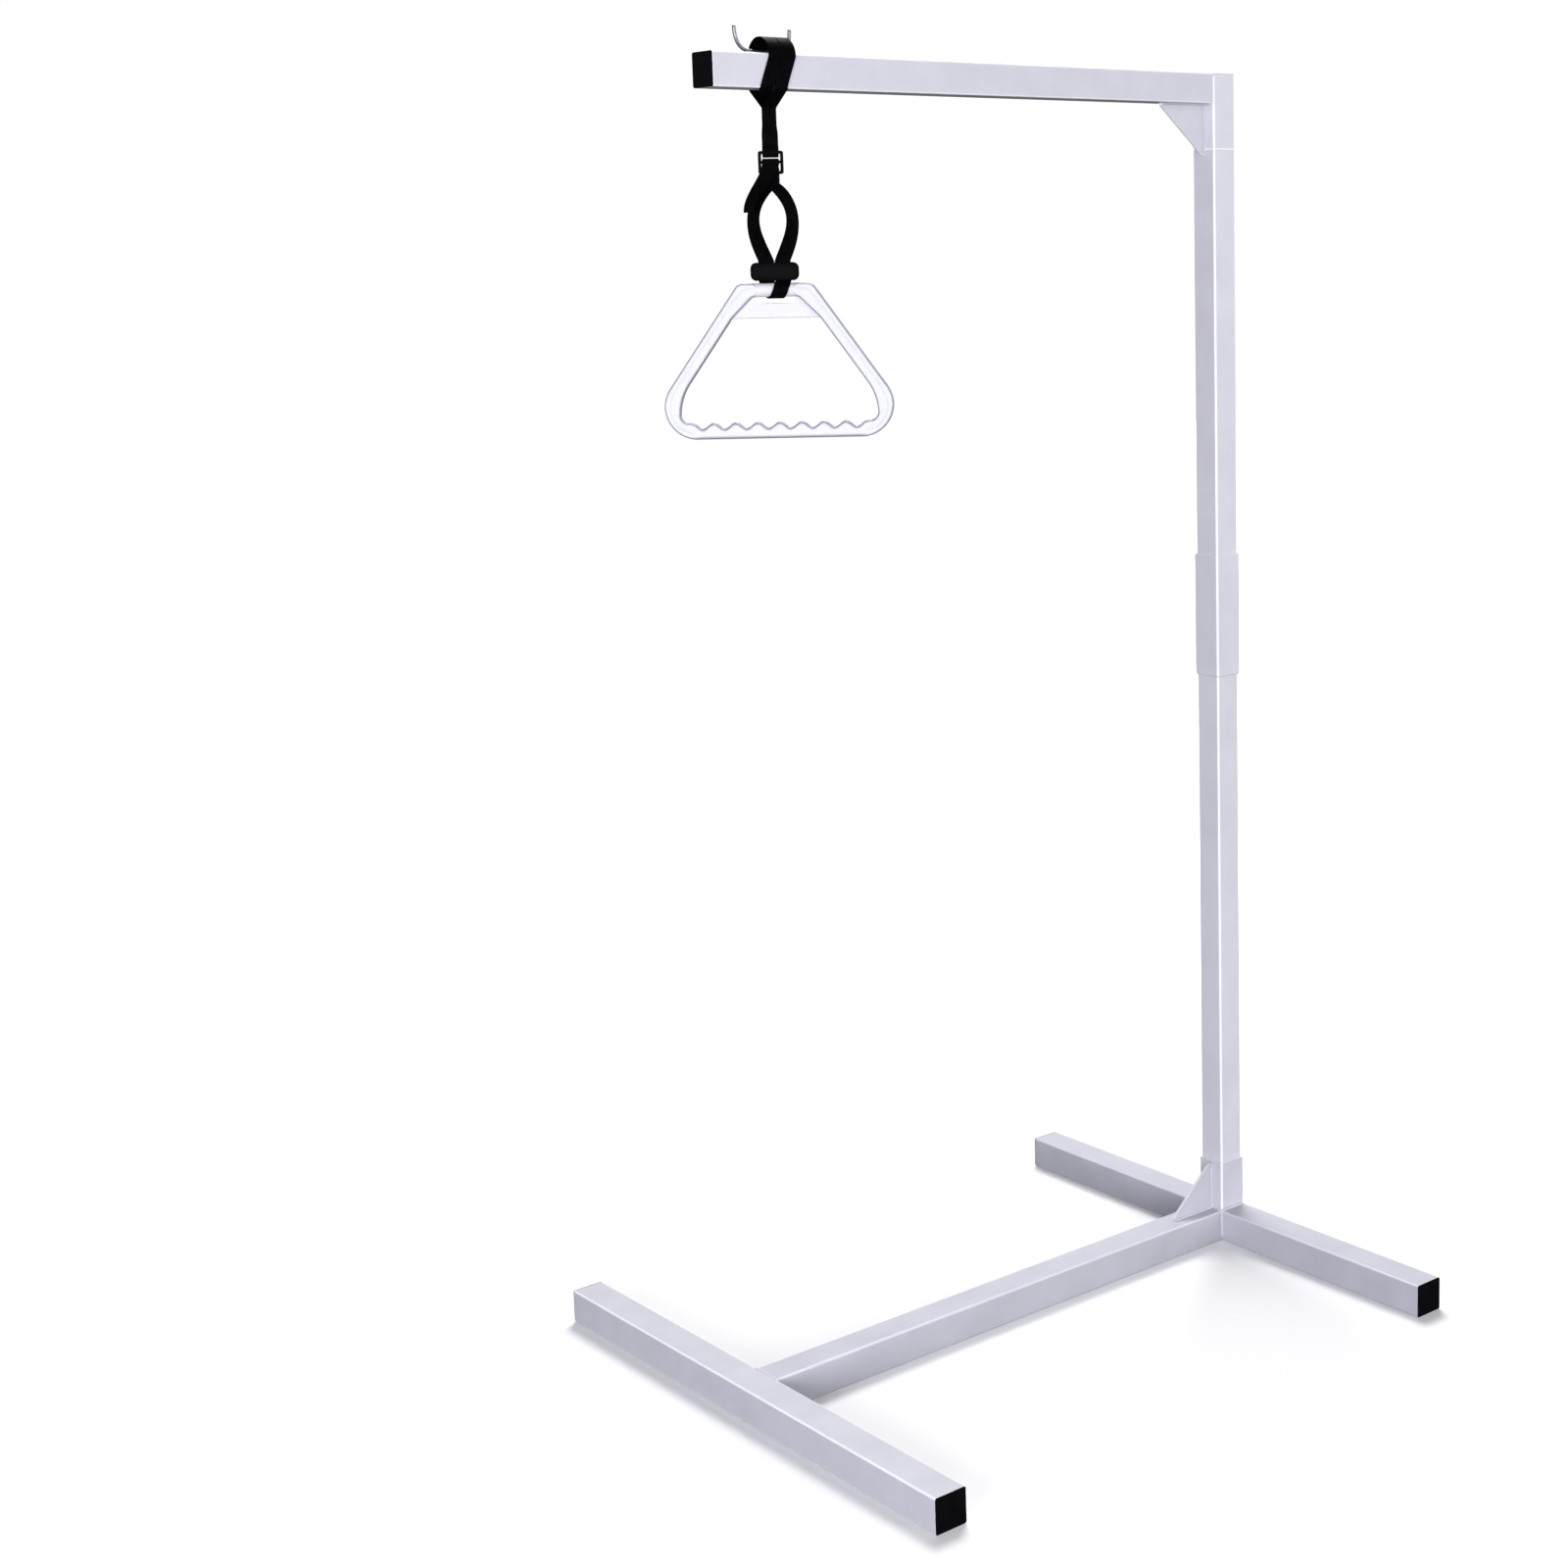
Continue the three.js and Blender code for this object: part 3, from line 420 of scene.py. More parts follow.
def linear(hex_colour: str) -> tuple[float, float, float, float]:
    """Linear colour of an sRGB hex value.

    Args:
        hex_colour: Value such as #DDE0E8.

    Returns:
        Red, green, blue and an alpha of one.
    """
    parts = np.array([int(hex_colour[place : place + 2], 16) for place in (1, 3, 5)]) / 255.0
    value = np.where(parts <= 0.04045, parts / 12.92, ((parts + 0.055) / 1.055) ** 2.4)
    return (*(float(part) for part in value), 1.0)


def add_node(
    tree: bpy.types.NodeTree,
    kind: str,
    settings: dict[str, object] | None = None,
    values: dict[str | int, object] | None = None,
    links: dict[str | int, bpy.types.NodeSocket] | None = None,
) -> bpy.types.Node:
    """Adds one node.

    Args:
        tree: Node tree of the material or the world.
        kind: Blender's name of the node's type, without "ShaderNode".
        settings: Node properties.
        values: Values of unlinked inputs.
        links: Output that feeds each linked input.

    Returns:
        The new node.
    """
    node = tree.nodes.new(f"ShaderNode{kind}")
    for name, value in (settings or {}).items():
        setattr(node, name, value)
    for key, value in (values or {}).items():
        node.inputs[key].default_value = value
    for key, source in (links or {}).items():
        tree.links.new(source, node.inputs[key])
    return node


def cleared(owner: bpy.types.Material | bpy.types.World) -> bpy.types.NodeTree:
    """Empties a node tree.

    Args:
        owner: Material or world that the tree belongs to.

    Returns:
        The tree, without nodes.
    """
    owner.use_nodes = True
    owner.node_tree.nodes.clear()
    return owner.node_tree


@dataclass(frozen=True)
class Coating:
    """What a surface is: its material's name, the record's slot, two colours and a relief."""

    name: str
    slot: str
    low: str
    high: str
    relief: float

    def material(self) -> bpy.types.Material:
        """Builds the node material once.

        Returns:
            The material, the same one each time.
        """
        found = bpy.data.materials.get(self.name)
        if found:
            return found
        made = bpy.data.materials.new(self.name)
        tree = cleared(made)
        values, links = self._inputs(tree)
        shader = add_node(tree, "BsdfPrincipled", values=values, links=links).outputs[0]
        add_node(tree, "OutputMaterial", links={"Surface": shader})
        return made

    def _inputs(self, tree: bpy.types.NodeTree) -> tuple[dict[str, float], dict[str, object]]:
        """What the shader's inputs take.

        Args:
            tree: Node tree that the pattern's nodes join.

        Returns:
            Values and linked outputs, each by the name of the shader's input.
        """
        raise NotImplementedError

    def _tone(self, tree: bpy.types.NodeTree, pattern: bpy.types.NodeSocket, start: float,
              end: float) -> bpy.types.NodeSocket:
        """Colour that runs between the finish's two colours over a stretch of a pattern.

        Args:
            tree: Node tree of the material.
            pattern: Number that varies over the surface.
            start: Its value where the low colour ends.
            end: Its value where the high colour starts.

        Returns:
            The colour's output.
        """
        stretch = {"From Min": start, "From Max": end}
        share = add_node(tree, "MapRange", values=stretch, links={"Value": pattern}).outputs[0]
        colours = {6: linear(self.low), 7: linear(self.high)}
        return add_node(tree, "Mix", {"data_type": "RGBA"}, colours, {0: share}).outputs[2]

    def _normal(self, tree: bpy.types.NodeTree,
                height: bpy.types.NodeSocket) -> bpy.types.NodeSocket:
        """Normal of a surface whose height in the pattern is a share of the relief."""
        depth = {"Strength": 1.0, "Distance": self.relief * MM}
        return add_node(tree, "Bump", values=depth, links={"Height": height}).outputs[0]


@dataclass(frozen=True)
class Finish(Coating):
    """A finish whose pattern comes from noise on Object coordinates.

    Grain sizes are in millimetres: grain for the relief, cloud for colour and gloss. The edge
    colour, a painted highlight on the coats and painted shade on the handle, is mixed in by the
    first coordinate of the piece's UV map, which marks its edges.
    """

    roughness: tuple[float, float]
    grain: float
    cloud: float
    stretch: tuple[float, float, float] = (1.0, 1.0, 1.0)
    shader: tuple[tuple[str, float], ...] = ()
    edge: str = ""

    def _inputs(self, tree: bpy.types.NodeTree) -> tuple[dict[str, float], dict[str, object]]:
        """Cloudy colour and roughness, a grained relief, and edges in a painted highlight or
        painted shade, as the finish gives.

        Args:
            tree: Node tree that the pattern's nodes join.

        Returns:
            Values and linked outputs, each by the name of the shader's input.
        """
        low, high = 0.3, 0.7
        place = add_node(tree, "TexCoord").outputs["Object"]
        scale = {"Scale": self.stretch}
        place = add_node(tree, "Mapping", values=scale, links={"Vector": place}).outputs[0]
        cloud, grain = (
            add_node(tree, "TexNoise", values={
                "Scale": 1.0 / (size * MM), "Detail": detail, "Roughness": 0.55,
            }, links={"Vector": place}).outputs[0]
            for size, detail in ((self.cloud, 4.0), (self.grain, 2.0))
        )
        colour = self._tone(tree, cloud, low, high)
        # The edge colour paints a highlight on the coats' edges and shade on the handle's side
        # walls, where the UV map marks them.
        if self.edge:
            marks = add_node(tree, "UVMap", {"uv_map": SURFACE_MAP}).outputs[0]
            mark = add_node(tree, "SeparateXYZ", links={0: marks}).outputs[0]
            edge = {7: linear(self.edge)}
            links = {0: mark, 6: colour}
            colour = add_node(tree, "Mix", {"data_type": "RGBA"}, edge, links).outputs[2]
        span = dict(zip(SPAN, (low, high, *self.roughness)))
        rough = add_node(tree, "MapRange", values=span, links={"Value": cloud}).outputs[0]
        links = {"Base Color": colour, "Roughness": rough, "Normal": self._normal(tree, grain)}
        return dict(self.shader), links


@dataclass(frozen=True)
class WovenFinish(Coating):
    """Plain weave that follows the strap: the piece's UV map holds millimetres."""

    warp: float
    weft: float
    roughness: float
    sheen: float
    specular: float

    def _inputs(self, tree: bpy.types.NodeTree) -> tuple[dict[str, float], dict[str, object]]:
        """Height and colour from the product of two sine waves, with the colour broken up.

        Args:
            tree: Node tree that the pattern's nodes join.

        Returns:
            Values and linked outputs, each by the name of the shader's input.
        """
        tuft = 9.0
        cloth = add_node(tree, "UVMap", {"uv_map": SURFACE_MAP}).outputs[0]
        parts = add_node(tree, "SeparateXYZ", links={0: cloth})
        product, sine = {"operation": "MULTIPLY"}, {"operation": "SINE"}
        waves = {}
        for number, pitch in enumerate((self.weft, self.warp)):
            to_angle = {1: math.pi / pitch}
            angle = add_node(tree, "Math", product, to_angle, {0: parts.outputs[number]}).outputs[0]
            waves[number] = add_node(tree, "Math", sine, links={0: angle}).outputs[0]
        crossing = add_node(tree, "Math", product, links=waves).outputs[0]
        height = add_node(
            tree, "Math", {"operation": "MULTIPLY_ADD"}, {1: 0.5, 2: 0.5}, {0: crossing}
        ).outputs[0]
        place = add_node(tree, "TexCoord").outputs["Object"]
        noise = {"Scale": 1.0 / (tuft * MM), "Detail": 5.0}
        fuzz = add_node(tree, "TexNoise", values=noise, links={"Vector": place}).outputs[0]
        tone = add_node(tree, "Math", product, links={0: height, 1: fuzz}).outputs[0]
        values = {
            "Roughness": self.roughness, "Specular IOR Level": self.specular,
            "Sheen Weight": self.sheen, "Sheen Roughness": 0.4,
        }
        links = {
            "Base Color": self._tone(tree, tone, 0.1, 0.55), "Normal": self._normal(tree, height),
        }
        return values, links


# Polyester powder coat, sprayed and baked: an even satin skin with a faint orange peel. Its
# edge colour is a painted highlight: the tubes' edges, cut ends and marked seams are painted
# lighter than the flats.
POWDER_COAT = Finish(
    name="powder_coat_lavender_grey", slot="paint", low="#C0C0CB", high="#C8C8D3", edge="#F4F4F8",
    roughness=(0.32, 0.4), grain=2.6, relief=0.04, cloud=60.0,
    shader=(("Coat Weight", 0.12), ("Coat Roughness", 0.25)),
)
# A shaded copy of the same coat, painted shade on the frame behind the front foot: a tone
# deeper, with a dimmer painted edge highlight.
SHADED_COAT = replace(
    POWDER_COAT, name="powder_coat_lavender_grey_shaded", low="#B8B8C4", high="#C0C0CC",
    edge="#CFCFDA", roughness=(0.34, 0.42),
)
# A lit copy of the same coat, painted light on the column's tubes: a tone lighter.
LIT_COAT = replace(
    POWDER_COAT, name="powder_coat_lavender_grey_lit", low="#CCCCD6", high="#D3D3DD",
)
# Injection-moulded polyethylene end caps: dull black with a fine sparked grain.
BLACK_MOULDING = Finish(
    name="black_polyethylene_moulding", slot="black_plastic", low="#060608", high="#0B0B0E",
    roughness=(0.42, 0.56), grain=0.7, relief=0.03, cloud=12.0,
    shader=(("Specular IOR Level", 0.025),),
)
# The same cap material in light grey, a little warmer than the paint.
GREY_MOULDING = Finish(
    name="light_grey_moulding", slot="grey_plastic", low="#CBC5CD", high="#D6D0D8",
    roughness=(0.4, 0.52), grain=0.7, relief=0.03, cloud=12.0,
)
# Bright zinc plating: cool metal with cloudy passivation.
ZINC_PLATE = Finish(
    name="bright_zinc_plate", slot="zinc", low="#A9AEB4", high="#C2C6CC",
    roughness=(0.24, 0.4), grain=0.6, relief=0.01, cloud=3.0, shader=(("Metallic", 1.0),),
)
# Drawn steel wire: metal with fine marks along its length.
DRAWN_WIRE = Finish(
    name="drawn_steel_wire", slot="wire", low="#6E7076", high="#85878D",
    roughness=(0.28, 0.42), grain=1.2, relief=0.02, cloud=4.0,
    stretch=(0.15, 1.0, 1.0), shader=(("Metallic", 1.0),),
)
# Moulded ABS of the grab handle: clean satin white with a soft sparked grain. Its edge colour
# is painted shade, a darker grey on its side walls.
HANDLE_MOULDING = Finish(
    name="white_abs_moulding", slot="white_plastic", low="#D1D1DA", high="#D8D8E1",
    edge="#9696A6", roughness=(0.42, 0.5), grain=0.9, relief=0.003, cloud=25.0,
    shader=(("Specular IOR Level", 0.35),),
)
# Polypropylene webbing: black multifilament, plain weave. Its real pitch of about 0.9 mm is
# drawn a little coarser, so that it shows in the render.
WEBBING = WovenFinish(
    name="black_polypropylene_webbing", slot="webbing", low="#010102", high="#0B0B0E",
    warp=1.3, weft=1.1, relief=0.22, roughness=0.6, sheen=0.003, specular=0.02,
)
# Bonded sewing thread, a little glossier than the strap.
THREAD = Finish(
    name="black_sewing_thread", slot="webbing", low="#141418", high="#222227",
    roughness=(0.4, 0.5), grain=0.5, relief=0.03, cloud=2.0,
)


# ---- meshes -------------------------------------------------------------------------------


def linked(name: str, data: bpy.types.ID) -> bpy.types.Object:
    """Adds an object to the scene.

    Args:
        name: Its name.
        data: Mesh, lamp or camera that it holds.

    Returns:
        The new object.
    """
    item = bpy.data.objects.new(name, data)
    bpy.context.scene.collection.objects.link(item)
    return item


@dataclass
class Shell:
    """Closed surfaces that together make one mesh."""

    name: str
    points: list[Array] = field(default_factory=list)
    faces: list[list[int]] = field(default_factory=list)
    cloth: list[Array] = field(default_factory=list)
    count: int = 0

    def add(self, rings: Array, loop: bool = False, cloth: Array | None = None) -> None:
        """Adds one closed surface.

        Args:
            rings: Rings with the shape rings, points, 3, in millimetres.
            loop: True joins the last ring to the first; otherwise both ends are capped.
            cloth: Marks of each point, or its millimetres along and across the strap.
        """
        rows, columns = rings.shape[:2]
        index = self.count + np.arange(rows * columns).reshape(rows, columns)
        rims = [] if loop else [index[0, ::-1].tolist(), index[-1].tolist()]
        if loop:
            index = np.vstack((index, index[:1]))
        beside = np.roll(index, -1, axis=1)
        quads = np.stack((index[:-1], beside[:-1], beside[1:], index[1:]), axis=-1)
        self.faces += quads.reshape(-1, 4).tolist() + rims
        self.points.append(rings.reshape(-1, 3))
        self.cloth.append(np.zeros((rows * columns, 2)) if cloth is None else cloth.reshape(-1, 2))
        self.count += rows * columns

    def make(self, finish: Coating, sharp: float = 38.0) -> bpy.types.Object:
        """Makes the Blender object, in metres.

        Args:
            finish: What the surface is.
            sharp: Edges that turn by more degrees than this are shaded sharp.

        Returns:
            The object, at the origin, with its faces pointing outwards.
        """
        mesh = bpy.data.meshes.new(self.name)
        mesh.from_pydata(np.concatenate(self.points) * MM, [], self.faces)
        mesh.update()
        corner = np.empty(len(mesh.loops), np.int32)
        mesh.loops.foreach_get("vertex_index", corner)
        layer = mesh.uv_layers.new(name=SURFACE_MAP)
        layer.data.foreach_set("uv", np.concatenate(self.cloth)[corner].astype(np.float32).ravel())
        item = linked(self.name, mesh)
        work = bmesh.new()
        work.from_mesh(mesh)
        bmesh.ops.recalc_face_normals(work, faces=work.faces)
        work.to_mesh(mesh)
        work.free()
        mesh.shade_smooth()
        mesh.set_sharp_from_angle(angle=math.radians(sharp))
        mesh.materials.append(finish.material())
        LOG.info("%s: %d points", self.name, self.count)
        return item


def fix(item: bpy.types.Object, body: Body, *nodes: str) -> bpy.types.Object:
    """Makes a piece ride on a body and stand for CAD nodes.

    Args:
        item: The piece.
        body: Body that it rides on.
        *nodes: CAD nodes that it stands for; none for a piece that only adds to the model.

    Returns:
        The same piece.
    """
    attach(item, body.value)
    if nodes:
        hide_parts(*nodes)
    return item


def make_solid(name: str, finish: Coating, body: Body, node: str, rings: Array,
               loop: bool = False, cloth: Array | None = None) -> None:
    """Makes a piece of one closed surface.

    Args:
        name: Name of the piece.
        finish: What its surface is.
        body: Body that it rides on.
        node: CAD node that it stands for.
        rings: Rings in millimetres.
        loop: True if the last ring is next to the first.
        cloth: Places of its points in the UV map.
    """
    shell = Shell(name)
    shell.add(rings, loop, cloth)
    fix(shell.make(finish), body, node)


@dataclass(frozen=True)
class SquareTube:
    """Square hollow section with rounded corners and eased cut edges."""

    size: float
    radius: float
    wall: float
    burr: float = 0.4

    def _ring(self, inset: float) -> Array:
        """Outline drawn in by an inset."""
        size = self.size - 2 * inset
        return rounded_ring(size, size, self.radius - inset)

    def rings(self, length: float) -> Array:
        """Closed rings of a length of the tube along +Z.

        Args:
            length: Cut length.

        Returns:
            Rings up the outside and down the bore.
        """
        burr = self.burr
        ring, rim, bore = (self._ring(inset) for inset in (0.0, burr, self.wall))
        return stacked([
            (rim, 0.0), (ring, burr), (ring, 2 * burr), (ring, length - 2 * burr),
            (ring, length - burr), (rim, length), (bore, length), (bore, 0.0),
        ])

    def marks(self, rings: Array) -> Array:
        """How near each point is to an edge, which sets the painted edge highlight: 0 on the flats,
        1 on an edge.

        Across a corner arc the sum of both distances from the axis grows from the tangent's
        to the arc's middle. Both cut ends count as edges.

        Args:
            rings: The tube's rings in its own frame.

        Returns:
            A place in the UV map for each point.
        """
        past_flat = np.abs(rings[..., :2]).sum(axis=2) - self.size + self.radius
        mark = np.clip(past_flat / ((math.sqrt(2) - 1) * self.radius), 0.0, 1.0)
        mark[[0, 1, 4, 5, 6, 7]] = 1.0
        return as_marks(mark)

    def piece(self, name: str, node: str, body: Body, length: float, origin: Sequence[float],
              x_axis: Array, z_axis: Array, finish: Finish = POWDER_COAT) -> None:
        """Makes a length of the tube.

        Args:
            name: Name of the piece.
            node: CAD node that it stands for.
            body: Body that it rides on.
            length: Cut length.
            origin: Where it starts.
            x_axis: Direction across it.
            z_axis: Direction along it.
            finish: What its surface is.
        """
        rings = self.rings(length)
        make_solid(f"{name}_tube", finish, body, node, placed(rings, origin, x_axis, z_axis),
                   loop=True, cloth=self.marks(rings))

    def cap(self, lip: float) -> Array:
        """Rings of a push-in cap's head along +Z: a rounded rim round a faintly domed face.

        The rim is a quarter arc, and the face rises as one less the square of the share.

        Args:
            lip: Thickness of the head.

        Returns:
            Rings from the tube's end outwards.
        """
        dome, edge, bevel = 0.2, 0.6, 0.25
        rim = lip - dome

        def shrunk(share: float) -> Array:
            """Outline shrunk to a share."""
            return rounded_ring(self.size * share, self.size * share, self.radius * share)

        levels = [(shrunk(0.2), 0.0), (self._ring(bevel), 0.0), (self._ring(0.0), bevel)]
        for cosine, sine in spokes(np.linspace(0.0, math.pi / 2, 5)):
            levels.append((self._ring(edge * (1 - cosine)), rim - edge + edge * sine))
        for share in (0.9, 0.75, 0.55, 0.35, 0.15, 0.02):
            levels.append((shrunk(share), rim + dome * (1 - share**2)))
        return stacked(levels)


def weld_bead(path: Array, across: Array, radius: float, loop: bool = False) -> Array:
    """Rings of a weld bead: a tube whose radius swells at each ripple.

    The radius is a sine of the length with a ripple's pitch and a slower one for the hand's
    unevenness, and it shrinks to a point at open ends.

    Args:
        path: Line that the bead follows.
        across: Direction square to the whole line.
        radius: Mean radius.
        loop: True for a bead that closes on itself.

    Returns:
        Closed rings.
    """
    step, pitch, ripple, wander, sway, taper = 0.6, 2.4, 0.09, 7.3, 0.05, 1.6
    points = resampled(np.vstack((path, path[:1])) if loop else path, step)
    points = points[:-1] if loop else softened(points, 3)
    along = lengths(points)
    swell = 1.0 + ripple * np.sin(2 * math.pi * along / pitch)
    swell += sway * np.sin(along / wander + radius)
    if not loop:
        end = np.minimum(along, along[-1] - along)
        swell = swell * np.sqrt(np.clip(end / (taper * radius), 0.01, 1.0))
    return swept(points, across, circle(radius, 10)[None] * swell[:, None, None], loop)


def edge_highlighted(rings: Array, loop: bool = False) -> tuple[Array, bool, Array]:
    """What a shell needs to add rings that take the painted edge highlight all over, as a ground
    seam's bright line does.
    """
    return rings, loop, as_marks(np.ones(rings.shape[:2]))


@dataclass(frozen=True)
class Gusset:
    """Plate in the corner of a level and an upright tube, in the XZ plane, its tips clipped.

    A negative rise puts it below the level tube.
    """

    run: float
    rise: float
    thickness: float = 5.0
    clip: float = 4.0
    burr: float = 0.4
    edge_line: float = 1.8

    @property
    def up(self) -> float:
        """Direction from the level tube to the plate's tip: 1 or -1."""
        return math.copysign(1.0, self.rise)

    def piece(self, name: str, node: str, body: Body, corner: tuple[float, float],
              finish: Finish = POWDER_COAT) -> None:
        """Makes the plate, with its cut edges eased.

        Each ring is the outline, drawn in towards its own middle and moved along Y; all but
        the first and last ring count as edges and take the painted edge highlight.

        Args:
            name: Name of the piece.
            node: CAD node that it stands for.
            body: Body that it rides on.
            corner: X and Z of the corner between both tubes.
            finish: What its surface is.
        """
        x, z = corner
        far, tip, clipped = x - self.run, z + self.rise, z + self.up * self.clip
        outline = np.array(((x, z), (x, tip), (x - self.clip, tip), (far, clipped), (far, z)))
        inwards = unit(outline.mean(axis=0) - outline)
        line, burr = self.edge_line, self.burr
        levels = (
            (line, -0.5, 0.0), (burr, -0.5, 0.0), (0.0, -0.5, burr),
            (0.0, 0.5, -burr), (burr, 0.5, 0.0), (line, 0.5, 0.0),
        )
        rings = np.stack([
            np.insert(outline + drawn * inwards, 1, side * self.thickness + inset, axis=1)
            for drawn, side, inset in levels
        ])
        mark = np.zeros(rings.shape[:2])
        mark[1:5] = 1.0
        make_solid(name, finish, body, node, rings, cloth=as_marks(mark))

    def add_beads(self, shell: Shell, corner: tuple[float, float], inset: float,
                  bead: float) -> None:
        """Adds the weld beads along both tubes, on both sides of the plate.

        Args:
            shell: Mesh that the beads join.
            corner: X and Z of the corner between both tubes.
            inset: Distance of the upright bead's middle from the upright tube.
            bead: Radius of the assembly's beads; these are a little thinner.
        """
        x, z = corner
        foot, tip = z + 0.3 * self.up, z + self.rise - self.up * self.clip
        for side in BOTH_SIDES:
            y = side * (self.thickness / 2 + 0.5)
            ends = ((x - self.run + self.clip, y, foot), (x - inset, y, foot), (x - inset, y, tip))
            shell.add(weld_bead(np.array(ends), Y_AXIS, 0.8 * bead))


# ---- steel stand --------------------------------------------------------------------------


def hexagon(flats: float, count: int = 72) -> Array:
    """Hexagon as a ring of many points: half the flats over the cosine within each sector.

    Args:
        flats: Width across flats.
        count: Points in the ring.

    Returns:
        The ring, counter-clockwise.
    """
    turn = full_turn(count)
    sector = np.mod(turn + math.pi / 6, math.pi / 3) - math.pi / 6
    return (flats / 2 / np.cos(sector))[:, None] * spokes(turn)


def trimmed(ring: Array, limit: float) -> Array:
    """Ring whose points lie no further out than a limit."""
    reach = np.linalg.norm(ring, axis=1, keepdims=True)
    return ring * np.minimum(1.0, limit / reach)


def nut_weld(stand: Stand, z: float) -> Array:
    """Bead round a weld nut on the +Y wall of the outer tube.

    Args:
        stand: Sizes of the stand.
        z: Height of the nut.

    Returns:
        Closed rings.
    """
    radius, bead, lift = 7.6, 1.2, 0.2
    ring = circle(radius, 48)
    wall = np.full(len(ring), stand.outer_tube / 2 + lift)
    path = np.column_stack((ring[:, 0] + stand.foot_x, wall, ring[:, 1] + z))
    return weld_bead(path, Y_AXIS, bead, loop=True)


@dataclass
class ClampBolt:
    """Hexagon bolt in a weld nut on a +Y wall, clamping the column in its outer tube."""

    stand: Stand
    name: str
    z: float
    body: Body
    flats: float = 13.0
    corner_trim: float = 0.15
    shank_radius: float = 4.0
    nut_height: float = 6.5
    nut_chamfer: float = 0.7
    nut_clearance: float = 0.3
    thread_showing: float = 2.0
    thread_pitch: float = 1.25
    thread_depth: float = 0.45
    tip_gap: float = 0.3
    tip_taper: float = 0.8
    tip_length: float = 0.6
    washer_inset: float = 0.3
    washer_height: float = 0.35
    head_height: float = 5.3
    head_chamfer: float = 0.8
    dish: tuple[float, float, float] = (4.6, 4.1, 0.3)

    def build(self) -> None:
        """Makes the nut and the bolt."""
        wall = self.stand.outer_tube / 2
        face = wall + self.nut_height
        hexa = hexagon(self.flats)
        bore = circle(self.shank_radius + self.nut_clearance, len(hexa))
        rim = trimmed(hexa, self.flats / 2 + self.corner_trim)
        chamfer = face - self.nut_chamfer
        nut = stacked([(hexa, wall), (hexa, chamfer), (rim, face), (bore, face), (bore, wall)])
        make_solid(f"{self.name}_nut", POWDER_COAT, self.body, f"{self.name}_weld_nut",
                   self._outward(nut), loop=True)
        bolt = self._bolt(face + self.thread_showing, hexa, rim)
        make_solid(f"{self.name}_bolt", ZINC_PLATE, self.body, f"{self.name}_clamp_bolt",
                   self._outward(bolt))

    def _bolt(self, head_face: float, hexa: Array, rim: Array) -> Array:
        """Rings of the bolt: a helical thread, a washer face and a chamfered head.

        Args:
            head_face: Distance of the head's underside from the column's axis.
            hexa: Outline of the head.
            rim: Outline of its chamfered end.

        Returns:
            Rings from the tip outwards.
        """
        count = len(hexa)
        turn = full_turn(count)
        tip = self.stand.column_tube / 2 + self.tip_gap
        heights = np.arange(tip + self.tip_length, head_face, self.thread_pitch / 6)
        wave = 0.5 - 0.5 * np.cos(2 * math.pi * heights[:, None] / self.thread_pitch + turn)
        thread = (self.shank_radius - self.thread_depth * wave)[..., None] * spokes(turn)
        washer = circle(self.flats / 2 - self.washer_inset, count)
        top = head_face + self.head_height
        wide, narrow, deep = self.dish
        return stacked([
            (circle(self.shank_radius - self.tip_taper, count), tip),
            *zip(thread, heights.tolist()),
            (washer, head_face), (washer, head_face + self.washer_height),
            (hexa, head_face + self.washer_height + 0.01), (hexa, top - self.head_chamfer),
            (rim, top), (circle(wide, count), top), (circle(narrow, count), top - deep),
        ])

    def _outward(self, rings: Array) -> Array:
        """Rings with local Z along +Y, on the column's axis at the bolt's height."""
        return placed(rings, (self.stand.foot_x, 0.0, self.z), X_AXIS, Y_AXIS)


